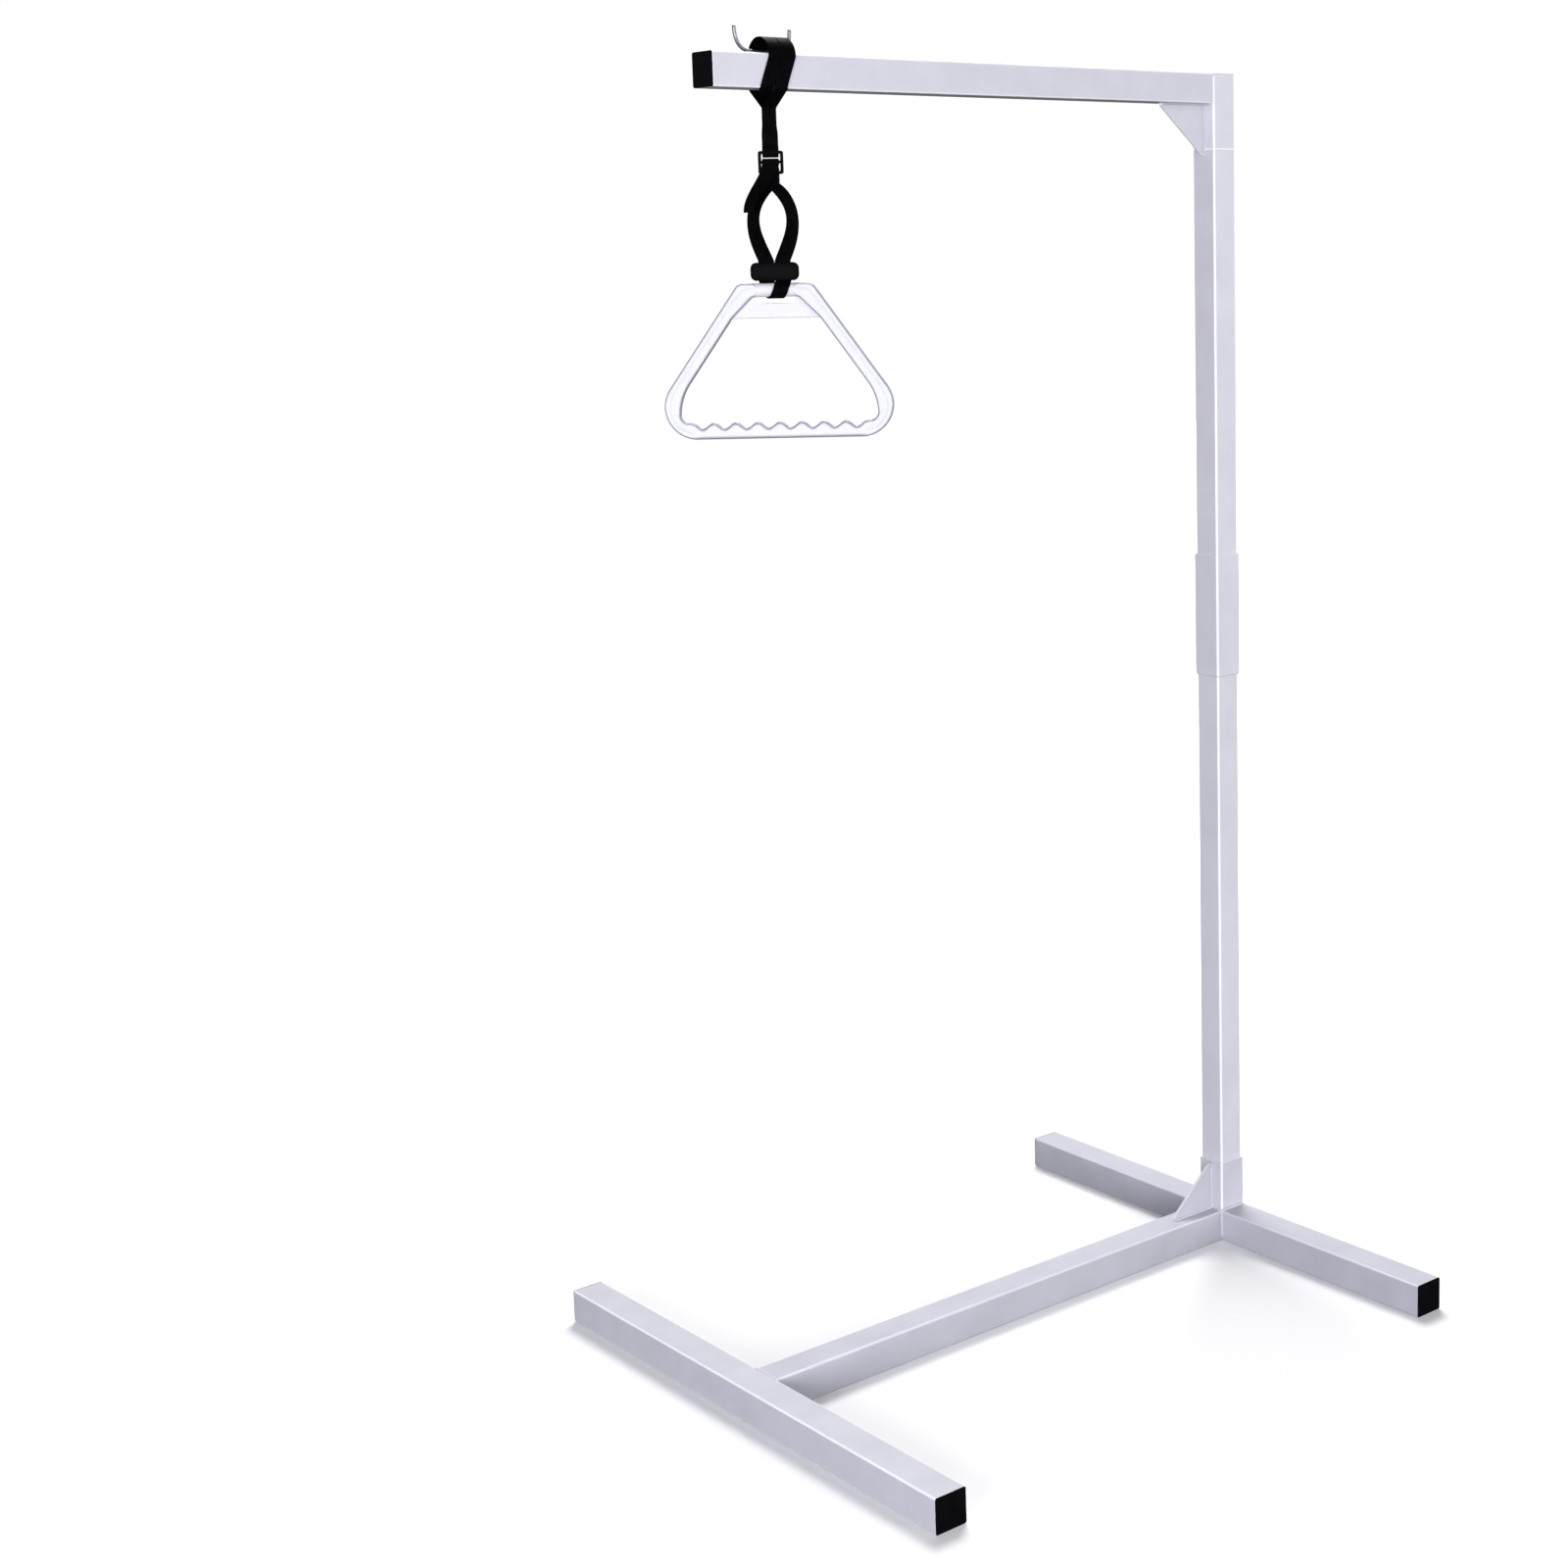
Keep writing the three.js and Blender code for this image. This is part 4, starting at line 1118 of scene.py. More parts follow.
@dataclass
class Base:
    """Two cross feet and the rail between them, with the column's socket and its gusset."""

    stand: Stand
    rail_half: float = 440.0
    cap_lip: float = 1.6
    gusset: Gusset = Gusset(run=86.0, rise=76.0)
    bead: float = 2.6
    bead_low: float = 4.0
    bead_sink: float = 1.4
    socket_bead_in: tuple[float, float] = (4.0, 1.5)

    def build(self) -> None:
        """Makes the base's pieces."""
        stand = self.stand
        tube, middle, reach = stand.outer, stand.outer_tube / 2, stand.foot_length / 2
        # The rear foot, the rail and the rail gusset take the shaded coat: painted shade.
        feet = (("front_foot", -stand.foot_x, POWDER_COAT), ("rear_foot", stand.foot_x, SHADED_COAT))
        for name, x, finish in feet:
            start = (x, -reach, middle)
            tube.piece(name, name, Body.BASE, stand.foot_length, start, X_AXIS, Y_AXIS, finish)
            for side, sign in (("left", 1.0), ("right", -1.0)):
                place = (x, sign * reach, middle)
                cap = placed(tube.cap(self.cap_lip), place, X_AXIS, sign * Y_AXIS)
                plug, node = f"{name}_plug_{side}", f"{name}_cap_{side}"
                make_solid(plug, BLACK_MOULDING, Body.BASE, node, cap)
        start, length = (-self.rail_half, 0.0, middle), 2 * self.rail_half
        # The rail takes the shaded coat: painted shade.
        tube.piece("rail", "base_rail", Body.BASE, length, start, Y_AXIS, X_AXIS, SHADED_COAT)
        start = (stand.foot_x, 0.0, stand.outer_tube)
        tube.piece("socket", "column_socket", Body.BASE, stand.socket_height, start, X_AXIS, Z_AXIS)
        corner = (stand.socket_front, stand.outer_tube)
        # The gusset takes the shaded coat: painted shade.
        self.gusset.piece("rail_gusset", "base_gusset", Body.BASE, corner, SHADED_COAT)
        bolt_z = stand.outer_tube + stand.socket_height / 2
        self._welds(corner, bolt_z)
        ClampBolt(stand, "socket", bolt_z, Body.BASE).build()

    def _welds(self, corner: tuple[float, float], bolt_z: float) -> None:
        """Makes the beads of the rail's two ends, the socket's foot, the gusset and the nut.

        Args:
            corner: X and Z of the gusset's corner.
            bolt_z: Height of the nut.
        """
        stand = self.stand
        shell = Shell("base_welds")
        half, low, top = stand.outer_tube / 2, self.bead_low, stand.outer_tube - self.bead_sink
        for x in (-self.rail_half, self.rail_half):
            arch = np.array(((x, -half, low), (x, -half, top), (x, half, top), (x, half, low)))
            shell.add(weld_bead(arch, X_AXIS, self.bead))
        narrower, forward = self.socket_bead_in
        ring = rounded_ring(stand.outer_tube - narrower, stand.outer_tube, stand.outer_radius)
        foot = raised(ring + (stand.foot_x - forward, 0.0), stand.outer_tube + 0.2)
        shell.add(weld_bead(foot, Z_AXIS, self.bead, loop=True), loop=True)
        self.gusset.add_beads(shell, corner, 0.5, self.bead)
        shell.add(nut_weld(stand, bolt_z), loop=True)
        fix(shell.make(POWDER_COAT, sharp=60.0), Body.BASE)


@dataclass
class LowerColumn:
    """Lower length of the column with the sleeve on its upper end."""

    stand: Stand
    bolt_below_top: float = 45.0
    bead: float = 1.5
    bead_out: float = 0.7
    bead_drop: float = 0.4

    def build(self) -> None:
        """Makes the lower column's pieces."""
        stand = self.stand
        # The lower column and the sleeve take the lit coat: painted light.
        for tube, name, node, low, high in (
            (stand.inner, "lower_column", "lower_column", stand.outer_tube, stand.column_split),
            (stand.outer, "sleeve", "column_sleeve", stand.sleeve_bottom, stand.sleeve_top),
        ):
            origin = (stand.foot_x, 0.0, low)
            tube.piece(name, node, Body.COLUMN, high - low, origin, X_AXIS, Z_AXIS, LIT_COAT)
        bolt_z = stand.sleeve_top - self.bolt_below_top
        shell = Shell("column_welds")
        width = stand.column_tube + 2 * self.bead_out
        ring = rounded_ring(width, width, stand.column_radius)
        path = raised(ring + (stand.foot_x, 0.0), stand.sleeve_bottom - self.bead_drop)
        shell.add(weld_bead(path, Z_AXIS, self.bead, loop=True), loop=True)
        shell.add(nut_weld(stand, bolt_z), loop=True)
        fix(shell.make(POWDER_COAT, sharp=60.0), Body.COLUMN)
        ClampBolt(stand, "sleeve", bolt_z, Body.COLUMN).build()


@dataclass
class Mast:
    """Upper column, elbow post and boom, with their gusset, caps and the wire keeper."""

    stand: Stand
    column_cap_lip: float = 4.0
    boom_cap_lip: float = 1.6
    gusset: Gusset = Gusset(run=90.0, rise=-76.0)
    bead: float = 2.3
    ground_bead: float = 0.7
    seam_bead: float = 1.5
    seam_inset: float = 0.8
    dab_bead: float = 1.7
    wire_radius: float = 2.5
    wire_seat: float = 0.3
    reach: tuple[float, float] = (50.0, 37.0)
    rise: tuple[float, float] = (35.0, 33.0)
    bend: tuple[float, float] = (26.0, 14.0)

    def build(self) -> None:
        """Makes the mast's steel and plastic pieces."""
        stand = self.stand
        tube, seam, post_top = stand.inner, stand.seam_z, stand.height - self.column_cap_lip
        # The upper column and the elbow post take the lit coat: painted light.
        spans = (("upper_column", stand.column_split, seam), ("elbow_post", seam, post_top))
        for name, low, high in spans:
            origin = (stand.foot_x, 0.0, low)
            tube.piece(name, name, Body.MAST, high - low, origin, X_AXIS, Z_AXIS, LIT_COAT)
        origin = (stand.boom_end_x, 0.0, stand.boom_middle)
        reach = stand.column_front - stand.boom_end_x
        tube.piece("boom", "boom", Body.MAST, reach, origin, Y_AXIS, X_AXIS)
        top = (stand.foot_x, 0.0, post_top)
        for name, finish, lip, place, x_axis, z_axis in (
            ("boom", BLACK_MOULDING, self.boom_cap_lip, origin, Y_AXIS, -X_AXIS),
            ("column", GREY_MOULDING, self.column_cap_lip, top, X_AXIS, Z_AXIS),
        ):
            cap = placed(tube.cap(lip), place, x_axis, z_axis)
            make_solid(f"{name}_plug", finish, Body.MAST, f"{name}_cap", cap)
        corner = (stand.column_front, stand.boom_bottom)
        self.gusset.piece("elbow_gusset", "boom_gusset", Body.MAST, corner)
        make_solid("keeper_wire", DRAWN_WIRE, Body.MAST, "wire_keeper", self._keeper())
        self._welds(corner)

    def _keeper(self) -> Array:
        """Wire along the boom with a horn at each end.

        Each horn is a quadratic curve from its tip, past a corner below it, to the straight
        part, and both tips are domed.

        Returns:
            Rings from the tip nearer the boom's end to the other tip.
        """
        seat = self.wire_radius + self.wire_seat
        share = np.linspace(0.0, 1.0, 40)[:, None]

        def horn(sign: float, side: int) -> Array:
            """Curve of one horn.

            Args:
                sign: Its direction along X.
                side: Its place in the tuples of sizes.

            Returns:
                Points from its tip to its foot.
            """
            reach = self.reach[side]
            tip = np.array((sign * reach, 0.0, self.rise[side]))
            corner = np.array((sign * reach, 0.0, seat))
            foot = np.array((sign * (reach - self.bend[side]), 0.0, seat))
            return (1 - share) ** 2 * tip + 2 * share * (1 - share) * corner + share**2 * foot

        path = resampled(np.concatenate((horn(-1.0, 0), horn(1.0, 1)[::-1])), 0.8)
        along = lengths(path)
        end = np.clip(np.minimum(along, along[-1] - along) / self.wire_radius, 0.0, 1.0)
        dome = np.sqrt(np.clip(1.0 - (1.0 - end) ** 2, 0.003, 1.0))
        profile = circle(self.wire_radius, 16)[None] * dome[:, None, None]
        return swept(path + (self.stand.strap_x, 0.0, self.stand.height), Y_AXIS, profile)

    def _welds(self, corner: tuple[float, float]) -> None:
        """Makes the beads of the boom's end, the gusset, the post's seam and the wire keeper.

        Args:
            corner: X and Z of the gusset's corner.
        """
        stand = self.stand
        shell = Shell("mast_welds")
        x, low = corner
        half, top, short = stand.column_tube / 2, stand.height - self.column_cap_lip, 5.0
        under = np.array(((x, short - half, low), (x, half - short, low)))
        shell.add(weld_bead(under, X_AXIS, self.bead))
        # Painted highlight: the ground beads up the post's sides take the edge colour all over.
        for side in (-half, half):
            ground = np.array(((x, side, low), (x, side, top)))
            shell.add(*edge_highlighted(weld_bead(ground, X_AXIS, self.ground_bead)))
        self.gusset.add_beads(shell, corner, 0.4, self.bead)
        width = stand.column_tube - 2 * self.seam_inset
        ring = rounded_ring(width, width, stand.column_radius)
        seam = raised(ring + (stand.foot_x, 0.0), stand.seam_z)
        # Painted highlight: the seam bead takes the edge colour all over, a bright line round the
        # post.
        shell.add(*edge_highlighted(weld_bead(seam, Z_AXIS, self.seam_bead, loop=True), loop=True))
        aside, lift, ends = 2.4, 0.6, (-6.0, 5.0)
        start, z = stand.strap_x - self.reach[0] + self.bend[0], stand.height + lift
        for side in BOTH_SIDES:
            dab = np.array([(start + end, side * aside, z) for end in ends])
            shell.add(weld_bead(dab, Y_AXIS, self.dab_bead))
        fix(shell.make(POWDER_COAT, sharp=60.0), Body.MAST)


# ---- strap --------------------------------------------------------------------------------


@dataclass
class Strap:
    """Webbing strap with its ladder buckle, from the boom to the handle's seat bar."""

    stand: Stand
    width: float = 21.0
    thickness: float = 2.0
    selvedge: float = 0.85
    gap: float = 0.3
    neck_drop: float = 32.0
    turns: int = 2
    edge_gap: float = 0.6
    crossing_sag: float = 8.5
    winding_start: float = 4.0
    front_slant: float = 14.5
    arch_rise: float = 21.0
    arch_spring: float = 4.0
    corner: float = 4.8
    neck_straight: float = 9.0
    twist_top: float = 1762.0
    twist_bottom: float = 1735.0
    opening_run: float = 9.0
    upper_joint: float = 1765.0
    lower_joint: float = 1747.2
    upper_bend_end: float = 1766.5
    middle_bend: tuple[float, float] = (1762.0, 1748.0)
    lower_bend: tuple[float, float] = (1746.9, 1733.0)
    buckle_top: float = 1726.95
    buckle_width: float = 33.0
    buckle_depth: float = 5.0
    buckle_bar: float = 4.0
    buckle_rail: float = 4.0
    upper_slot: float = 8.5
    lower_slot: float = 9.5
    fold_length: float = 10.0
    leg_length: float = 103.5
    leg_straight: float = 2.0
    leg_bow: float = 22.0
    leg_spread: float = 9.0
    leg_power: float = 0.8
    leg_offset: float = 11.0
    leg_twist: float = 48.0
    tail_out: float = 30.0
    tail_drop: float = 62.0
    tail_forward: float = 9.0
    tail_twist: float = 50.0
    slider_width: float = 64.0
    slider_height: float = 24.0
    slider_depth: float = 11.0
    slider_corner: float = 8.0
    slider_crown: float = 5.0
    slot_width: float = 46.0
    slot_depth: float = 5.4
    slider_over_bar: float = 12.0
    seat_bar_radius: float = 9.0
    adjust_travel: float = 50.0

    @property
    def ply(self) -> float:
        """Distance of each ply's middle from the strap's middle plane."""
        return (self.thickness + self.gap) / 2

    @property
    def buckle_bottom(self) -> float:
        """Underside of the buckle."""
        return self.buckle_top - 3 * self.buckle_bar - self.upper_slot - self.lower_slot

    @property
    def middle_bar_top(self) -> float:
        """Upper side of the buckle's middle bar."""
        return self.buckle_top - self.buckle_bar - self.upper_slot

    @property
    def bar_wrap(self) -> float:
        """Radius at which a strap's middle passes round a buckle bar."""
        return self.buckle_depth / 2 + self.gap + self.thickness / 2

    @property
    def second_wrap(self) -> float:
        """Distance of a second layer's middle from the buckle's middle plane."""
        return self.bar_wrap + self.thickness + self.gap

    @property
    def leg_top(self) -> float:
        """Upper end of the loop's legs."""
        return self.buckle_bottom - self.fold_length - self.gap

    @property
    def slider_top(self) -> float:
        """Upper end of the slider, where the legs end."""
        return self.leg_top - self.leg_length

    @property
    def bar_z(self) -> float:
        """Height of the handle's seat bar."""
        return self.slider_top - self.slider_height - self.slider_over_bar

    def build(self) -> None:
        """Makes the strap's pieces."""
        self._winding()
        self._hanging()
        self._buckle()
        self._legs()
        self._tail()
        self._fold()
        self._loop_end()

    def _set(self, rings: Array, height: float = 0.0) -> Array:
        """Rings turned to the handle's plane, on the strap's axis."""
        return turned(rings, self.stand.handle_yaw, (self.stand.strap_x, 0.0, height))

    def _ribbon(self, shell: Shell, path: Array, across: Array, place: bool = True) -> None:
        """Adds a ribbon to a shell.

        Args:
            shell: Mesh that the ribbon joins.
            path: Its middle line.
            across: Direction across it, one for all points or one for each.
            place: True turns it from the handle's frame on the strap's axis.
        """
        profile = rounded_ring(self.width, self.thickness, self.selvedge, 3)
        rings = swept(path, across, profile)
        along = np.broadcast_to(lengths(path)[:, None], rings.shape[:2])
        aside = np.broadcast_to(profile[:, 0], rings.shape[:2])
        shell.add(self._set(rings) if place else rings, cloth=np.stack((along, aside), axis=-1))

    def _piece(self, name: str, path: Array, across: Array, body: Body, node: str,
               place: bool = True) -> bpy.types.Object:
        """Makes a piece of one ribbon.

        Args:
            name: Name of the piece.
            path: Its middle line.
            across: Direction across it, one for all points or one for each.
            body: Body that it rides on.
            node: CAD node that it stands for.
            place: True turns it from the handle's frame on the strap's axis.

        Returns:
            The piece.
        """
        shell = Shell(name)
        self._ribbon(shell, path, across, place)
        return fix(shell.make(WEBBING), body, node)

    def _winding(self) -> None:
        """Two turns round the boom, one strip from the neck and back to the neck.

        Over the boom each turn is half a sine wave, and where it crosses under the boom it
        sags as one.
        """
        half_tube = self.stand.column_tube / 2
        half = half_tube + self.gap + self.thickness / 2
        spring = half_tube - self.arch_spring
        pitch = -(self.width + self.edge_gap)
        neck = -half_tube - self.neck_drop
        cut = self.corner * (1 - math.sqrt(0.5))
        edge = half - self.corner
        turn = np.linspace(0.0, math.pi / 2, 7)[1:-1]
        arch = np.linspace(0.0, math.pi, 25)[1:-1]
        share = np.linspace(0.0, 1.0, 21)

        def corner_arc(y: float, start: float, x: float) -> Array:
            """Quarter turn round one of the boom's lower edges."""
            line = spokes(start - turn) * self.corner + (y, -edge)
            return np.column_stack((np.full(len(turn), x), line))

        parts = [((0.0, -self.ply, neck), (0.0, -self.ply, neck + self.neck_straight))]
        parts.append(((self.winding_start, -half, cut - half),))
        for number in range(self.turns):
            low = self.winding_start + number * pitch
            high = low + self.front_slant
            parts.append(((low, -half, self.corner - half), (high, -half, spring)))
            rise = spring + (self.arch_rise + self.arch_spring) * np.sin(arch)
            parts.append(np.column_stack((np.full(len(arch), high), -half * np.cos(arch), rise)))
            parts.append(((high, half, spring), (high, half, self.corner - half)))
            if number == self.turns - 1:
                parts.append(((high, half, cut - half),))
                continue
            parts.append(corner_arc(edge, 0.0, high))
            parts.append(np.stack((
                high + (low + pitch - high) * share, edge * (1 - 2 * share),
                -half - self.crossing_sag * np.sin(share * math.pi),
            ), axis=1))
            parts.append(corner_arc(-edge, -math.pi / 2, low + pitch))
        parts.append(((0.0, self.ply, neck + self.neck_straight), (0.0, self.ply, neck)))
        path = np.concatenate([np.asarray(part) for part in parts])
        path = softened(resampled(path, 0.7), 4) + (self.stand.strap_x, 0.0, self.stand.boom_middle)
        self._piece("winding_strap", path, X_AXIS, Body.MAST, "boom_winding", place=False)

    def _across(self, heights: Array) -> tuple[Array, Array]:
        """Directions of the strap by height, in the handle's frame.

        The strap turns from the boom's direction to the handle's as a smooth step.

        Args:
            heights: Heights to look up.

        Returns:
            The direction across the strap and the one out of its face, at each height.
        """
        share = ease((self.twist_top - heights) / (self.twist_top - self.twist_bottom))
        across = raised(spokes(np.radians(-self.stand.handle_yaw) * (1 - share)), 0.0)
        return across, across[:, [1, 0, 2]] * (1.0, -1.0, 1.0)

    def _hanging(self) -> None:
        """Three lengths of the two plies; the lowest passes round the buckle's top bar."""

        def hung(offset: float | Array, out: Array, heights: Array) -> Array:
            """Line of a ply.

            Args:
                offset: Distance from the strap's middle plane.
                out: Direction out of the strap's face, at each height.
                heights: Heights of the line's points.

            Returns:
                The points.
            """
            line = offset * out
            line[:, 2] = heights
            return line

        neck = self.stand.boom_bottom - self.neck_drop
        high, low = self.upper_joint, self.lower_joint
        neck_bend = (neck - 0.1, self.upper_bend_end)
        for name, top, bottom, upper, lower, bend in (
            ("upper", neck, high, Body.MAST, Body.STRAP_TOP, neck_bend),
            ("middle", high, low, Body.STRAP_TOP, Body.STRAP_MIDDLE, self.middle_bend),
        ):
            heights = np.linspace(top, bottom, 24)
            across, out = self._across(heights)
            shell = Shell(f"strap_{name}_length")
            for side in (1.0, -1.0):
                self._ribbon(shell, hung(side * self.ply, out, heights), across)
            self._blend(shell, f"hanging_{lower.value}")
        heights = np.linspace(low, self.buckle_top, 30)
        across, out = self._across(heights)
        opening = ease((self.twist_bottom - heights) / self.opening_run)
        offset = (self.ply + (self.bar_wrap - self.ply) * opening)[:, None]
        turn = np.linspace(0.0, math.pi, 24)
        bar = self.buckle_top - self.buckle_bar
        wrap = np.insert(-self.bar_wrap * spokes(turn), 0, 0.0, axis=1) + (0.0, 0.0, bar)
        path = np.concatenate((hung(offset, out, heights), wrap, hung(-offset, out, heights)[::-1]))
        sides = np.concatenate((across, np.broadcast_to(X_AXIS, wrap.shape), across[::-1]))
        shell = Shell("strap_lower_length")
        self._ribbon(shell, path, sides)
        self._blend(shell, "hanging_strap_lower")

    def _blend(self, shell: Shell,
               node: str) -> None:
        """Makes a length that spans from one body to the next; it rides on no body.

        Args:
            shell: Its mesh.
            node: CAD node that it stands for.
        """
        item = shell.make(WEBBING)
        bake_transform(item)
        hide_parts(node)

    def _buckle(self) -> None:
        """Moulded frame with a middle bar."""
        wide, tall = self.buckle_width / 2, (self.buckle_top - self.buckle_bottom) / 2
        middle = (self.buckle_top + self.buckle_bottom) / 2
        corners, edges, bar_in = (3.0, 1.2), (1.3, 1.6), 1.5
        outer = rounded_ring(2 * wide, 2 * tall, corners[0])
        open_wide, open_tall = 2 * (wide - self.buckle_rail), 2 * (tall - self.buckle_bar)
        inner = rounded_ring(open_wide, open_tall, corners[1])
        frame = band(outer, inner, self.buckle_depth, edges[0], 0.0)
        x = np.linspace(-wide + bar_in, wide - bar_in, 40)
        edge = raised(x[:, None], self.middle_bar_top - middle)
        bar = band(edge, edge - (0.0, self.buckle_bar), self.buckle_depth, edges[1], 0.0)
        shell = Shell("buckle_frame")
        shell.add(self._set(frame, middle), loop=True)
        shell.add(self._set(bar, middle))
        fix(shell.make(BLACK_MOULDING), Body.BUCKLE, "ladder_buckle")

    def _legs(self) -> None:
        """Two legs that bow apart and gather at the slider."""
        share = np.linspace(0.0, 1.0, 90)
        swell = np.sin(share**self.leg_power * math.pi)
        across = raised(spokes(np.radians(self.leg_twist) * swell), 0.0)
        across = np.concatenate((across[:1], across, across[-1:]))
        bowed = self.leg_length - 2 * self.leg_straight
        heights = self.leg_top - self.leg_straight - bowed * share
        for name, side, start in (("front", 1.0, self.second_wrap), ("back", -1.0, self.bar_wrap)):
            forward = start + (self.ply - start) * share + self.leg_spread * swell
            aside = self.leg_offset * share + self.leg_bow * swell
            path = np.stack((side * aside, -side * forward, heights), axis=1)
            path = np.concatenate((path[:1], path, path[-1:]))
            path[[0, -1], 2] = (self.leg_top, self.slider_top)
            item = self._piece(f"leg_{name}_strap", path, across, Body.BUCKLE, f"loop_leg_{name}")
            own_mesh(item)

    def _tail(self) -> None:
        """Free tail: up before the fold, back under the middle bar, over it and out."""
        bar_top = self.middle_bar_top
        bar_bottom = bar_top - self.buckle_bar
        fold_top = bar_bottom - self.lower_slot + self.bar_wrap + self.thickness / 2
        low = (fold_top + bar_bottom) / 2
        high = bar_top + self.gap + self.thickness / 2
        wrap, outer = self.bar_wrap, self.second_wrap
        out = -outer - self.tail_forward / 3
        start = high - 2 * self.thickness
        corners = np.array((
            (0.0, -outer, self.leg_top + self.gap), (0.0, -outer, low), (0.0, wrap, low),
            (0.0, wrap, high), (0.0, out, high), (0.0, out, start),
        ))
        threaded = softened(resampled(corners, 0.6), 3)
        share = np.linspace(0.0, 1.0, 70)[1:]
        swing = ease(share)
        free = np.stack((
            -self.tail_out * swing,
            out - self.tail_forward * np.sin(share * math.pi * 0.75),
            start - (self.tail_drop + self.thickness) * share,
        ), axis=1)
        angle = -np.radians(self.tail_twist) * np.concatenate((np.zeros(len(threaded)), swing))
        path = np.concatenate((threaded, free))
        self._piece("free_tail", path, raised(spokes(angle), 0.0), Body.BUCKLE, "strap_tail")

    def _fold(self) -> None:
        """Sewn end of the back leg, folded over the buckle's bottom bar, with its stitches."""
        turn = np.linspace(0.0, math.pi, 24)
        wrap, bar = self.bar_wrap, self.buckle_bottom + self.buckle_bar
        over = np.insert(wrap * spokes(turn), 0, 0.0, axis=1) + (0.0, 0.0, bar)
        end = self.leg_top + self.gap
        path = np.concatenate((((0.0, wrap, end),), over, ((0.0, -wrap, end),)))
        self._piece("sewn_loop", resampled(path, 0.6), X_AXIS, Body.BUCKLE, "sewn_fold")
        y, sunk, proud = wrap + self.thickness / 2, -0.25, 0.2
        stitch = np.array(((0.0, sunk), (0.6, proud), (1.6, proud), (2.2, sunk)))
        rows, reach, pitch, thread = (2.2, 6.6), (-8.8, 7.5), 2.9, circle(0.38, 8)
        shell = Shell("fold_stitches")
        for row in rows:
            for x in np.arange(*reach, pitch):
                line = raised(stitch + (x, y), end + row)
                shell.add(self._set(swept(resampled(line, 0.4), Z_AXIS, thread)))
        fix(shell.make(THREAD), Body.BUCKLE)

    def _loop_end(self) -> None:
        """Slider that gathers the strap, and the loop round the handle's seat bar."""
        radius = self.seat_bar_radius + self.gap + self.thickness / 2
        apex = self.slider_over_bar
        tangent = math.atan2(apex, self.ply) - math.acos(radius / math.hypot(self.ply, apex))
        turn = np.linspace(math.pi - tangent, 2 * math.pi + tangent, 60)
        top = apex + self.slider_height
        loop = np.concatenate((
            ((-self.ply, top), (-self.ply, apex)), radius * spokes(turn),
            ((self.ply, apex), (self.ply, top)),
        ))
        line = softened(resampled(loop, 0.7), 2)
        total = lengths(line)[-1]
        along, straight = lengths(line) / total, self.slider_height / total
        shift = self.leg_offset * (1 - 2 * ease((along - straight) / (1 - 2 * straight)))
        path = np.column_stack((shift, line[:, 0], line[:, 1] + self.bar_z))
        self._piece("seat_loop", path, X_AXIS, Body.LOOP_END, "handle_loop")
        slider = self._set(self._slider(), self.slider_top - self.slider_height / 2)
        make_solid("slider_moulding", BLACK_MOULDING, Body.LOOP_END, "strap_slider", slider,
                   loop=True)

    def _slider(self) -> Array:
        """Slider whose width and depth swell to the middle as quarter arcs.

        Returns:
            Closed rings, up the outside and down the slot.
        """
        roundness, rim, slot_corner = 0.44, 0.3, 1.0
        flat = self.slider_height / 2 - self.slider_corner
        turn = np.radians(np.linspace(-80.0, 0.0, 8))
        levels = []
        for sign, angles in ((-1.0, turn), (1.0, -turn[::-1])):
            for cosine, sine in spokes(angles):
                wide = self.slider_width - 2 * self.slider_corner * (1 - cosine)
                deep = self.slider_depth - self.slider_crown * (1 - cosine)
                height = sign * flat + self.slider_corner * sine
                levels.append((rounded_ring(wide, deep, roundness * deep), height))
        slot = rounded_ring(self.slot_width, self.slot_depth, slot_corner)
        end = levels[-1][1] - rim
        return stacked([*levels, (slot, end), (slot, -end)])


# ---- grab handle --------------------------------------------------------------------------


def filleted(corners: Sequence[tuple[float, float, float]]) -> tuple[Array, list[tuple[int, int]]]:
    """Path through corners, each rounded by a true arc that is tangent to both its edges.

    Args:
        corners: X, Z and radius of each corner; both ends have radius zero.

    Returns:
        The points, and the first and last index of each arc.
    """
    points, arcs, count = [np.array([corners[0][:2]])], [], 1
    for before, here, after in zip(corners[:-2], corners[1:-1], corners[2:]):
        place, radius = np.array(here[:2]), here[2]
        back, ahead = unit(np.array(before[:2]) - place), unit(np.array(after[:2]) - place)
        half = math.acos(float(np.clip(back @ ahead, -1.0, 1.0))) / 2
        centre = place + unit(back + ahead) * radius / math.sin(half)
        start = place + back * radius / math.tan(half) - centre
        way = math.copysign(1.0, back[1] * ahead[0] - back[0] * ahead[1])
        arc = spokes(np.linspace(0.0, way * (math.pi - 2 * half), 49))
        arc = arc[:, :1] * start + arc[:, 1:] * (-start[1], start[0]) + centre
        arcs.append((count, count + len(arc) - 1))
        points.append(arc)
        count += len(arc)
    points.append(np.array([corners[-1][:2]]))
    return np.concatenate(points), arcs


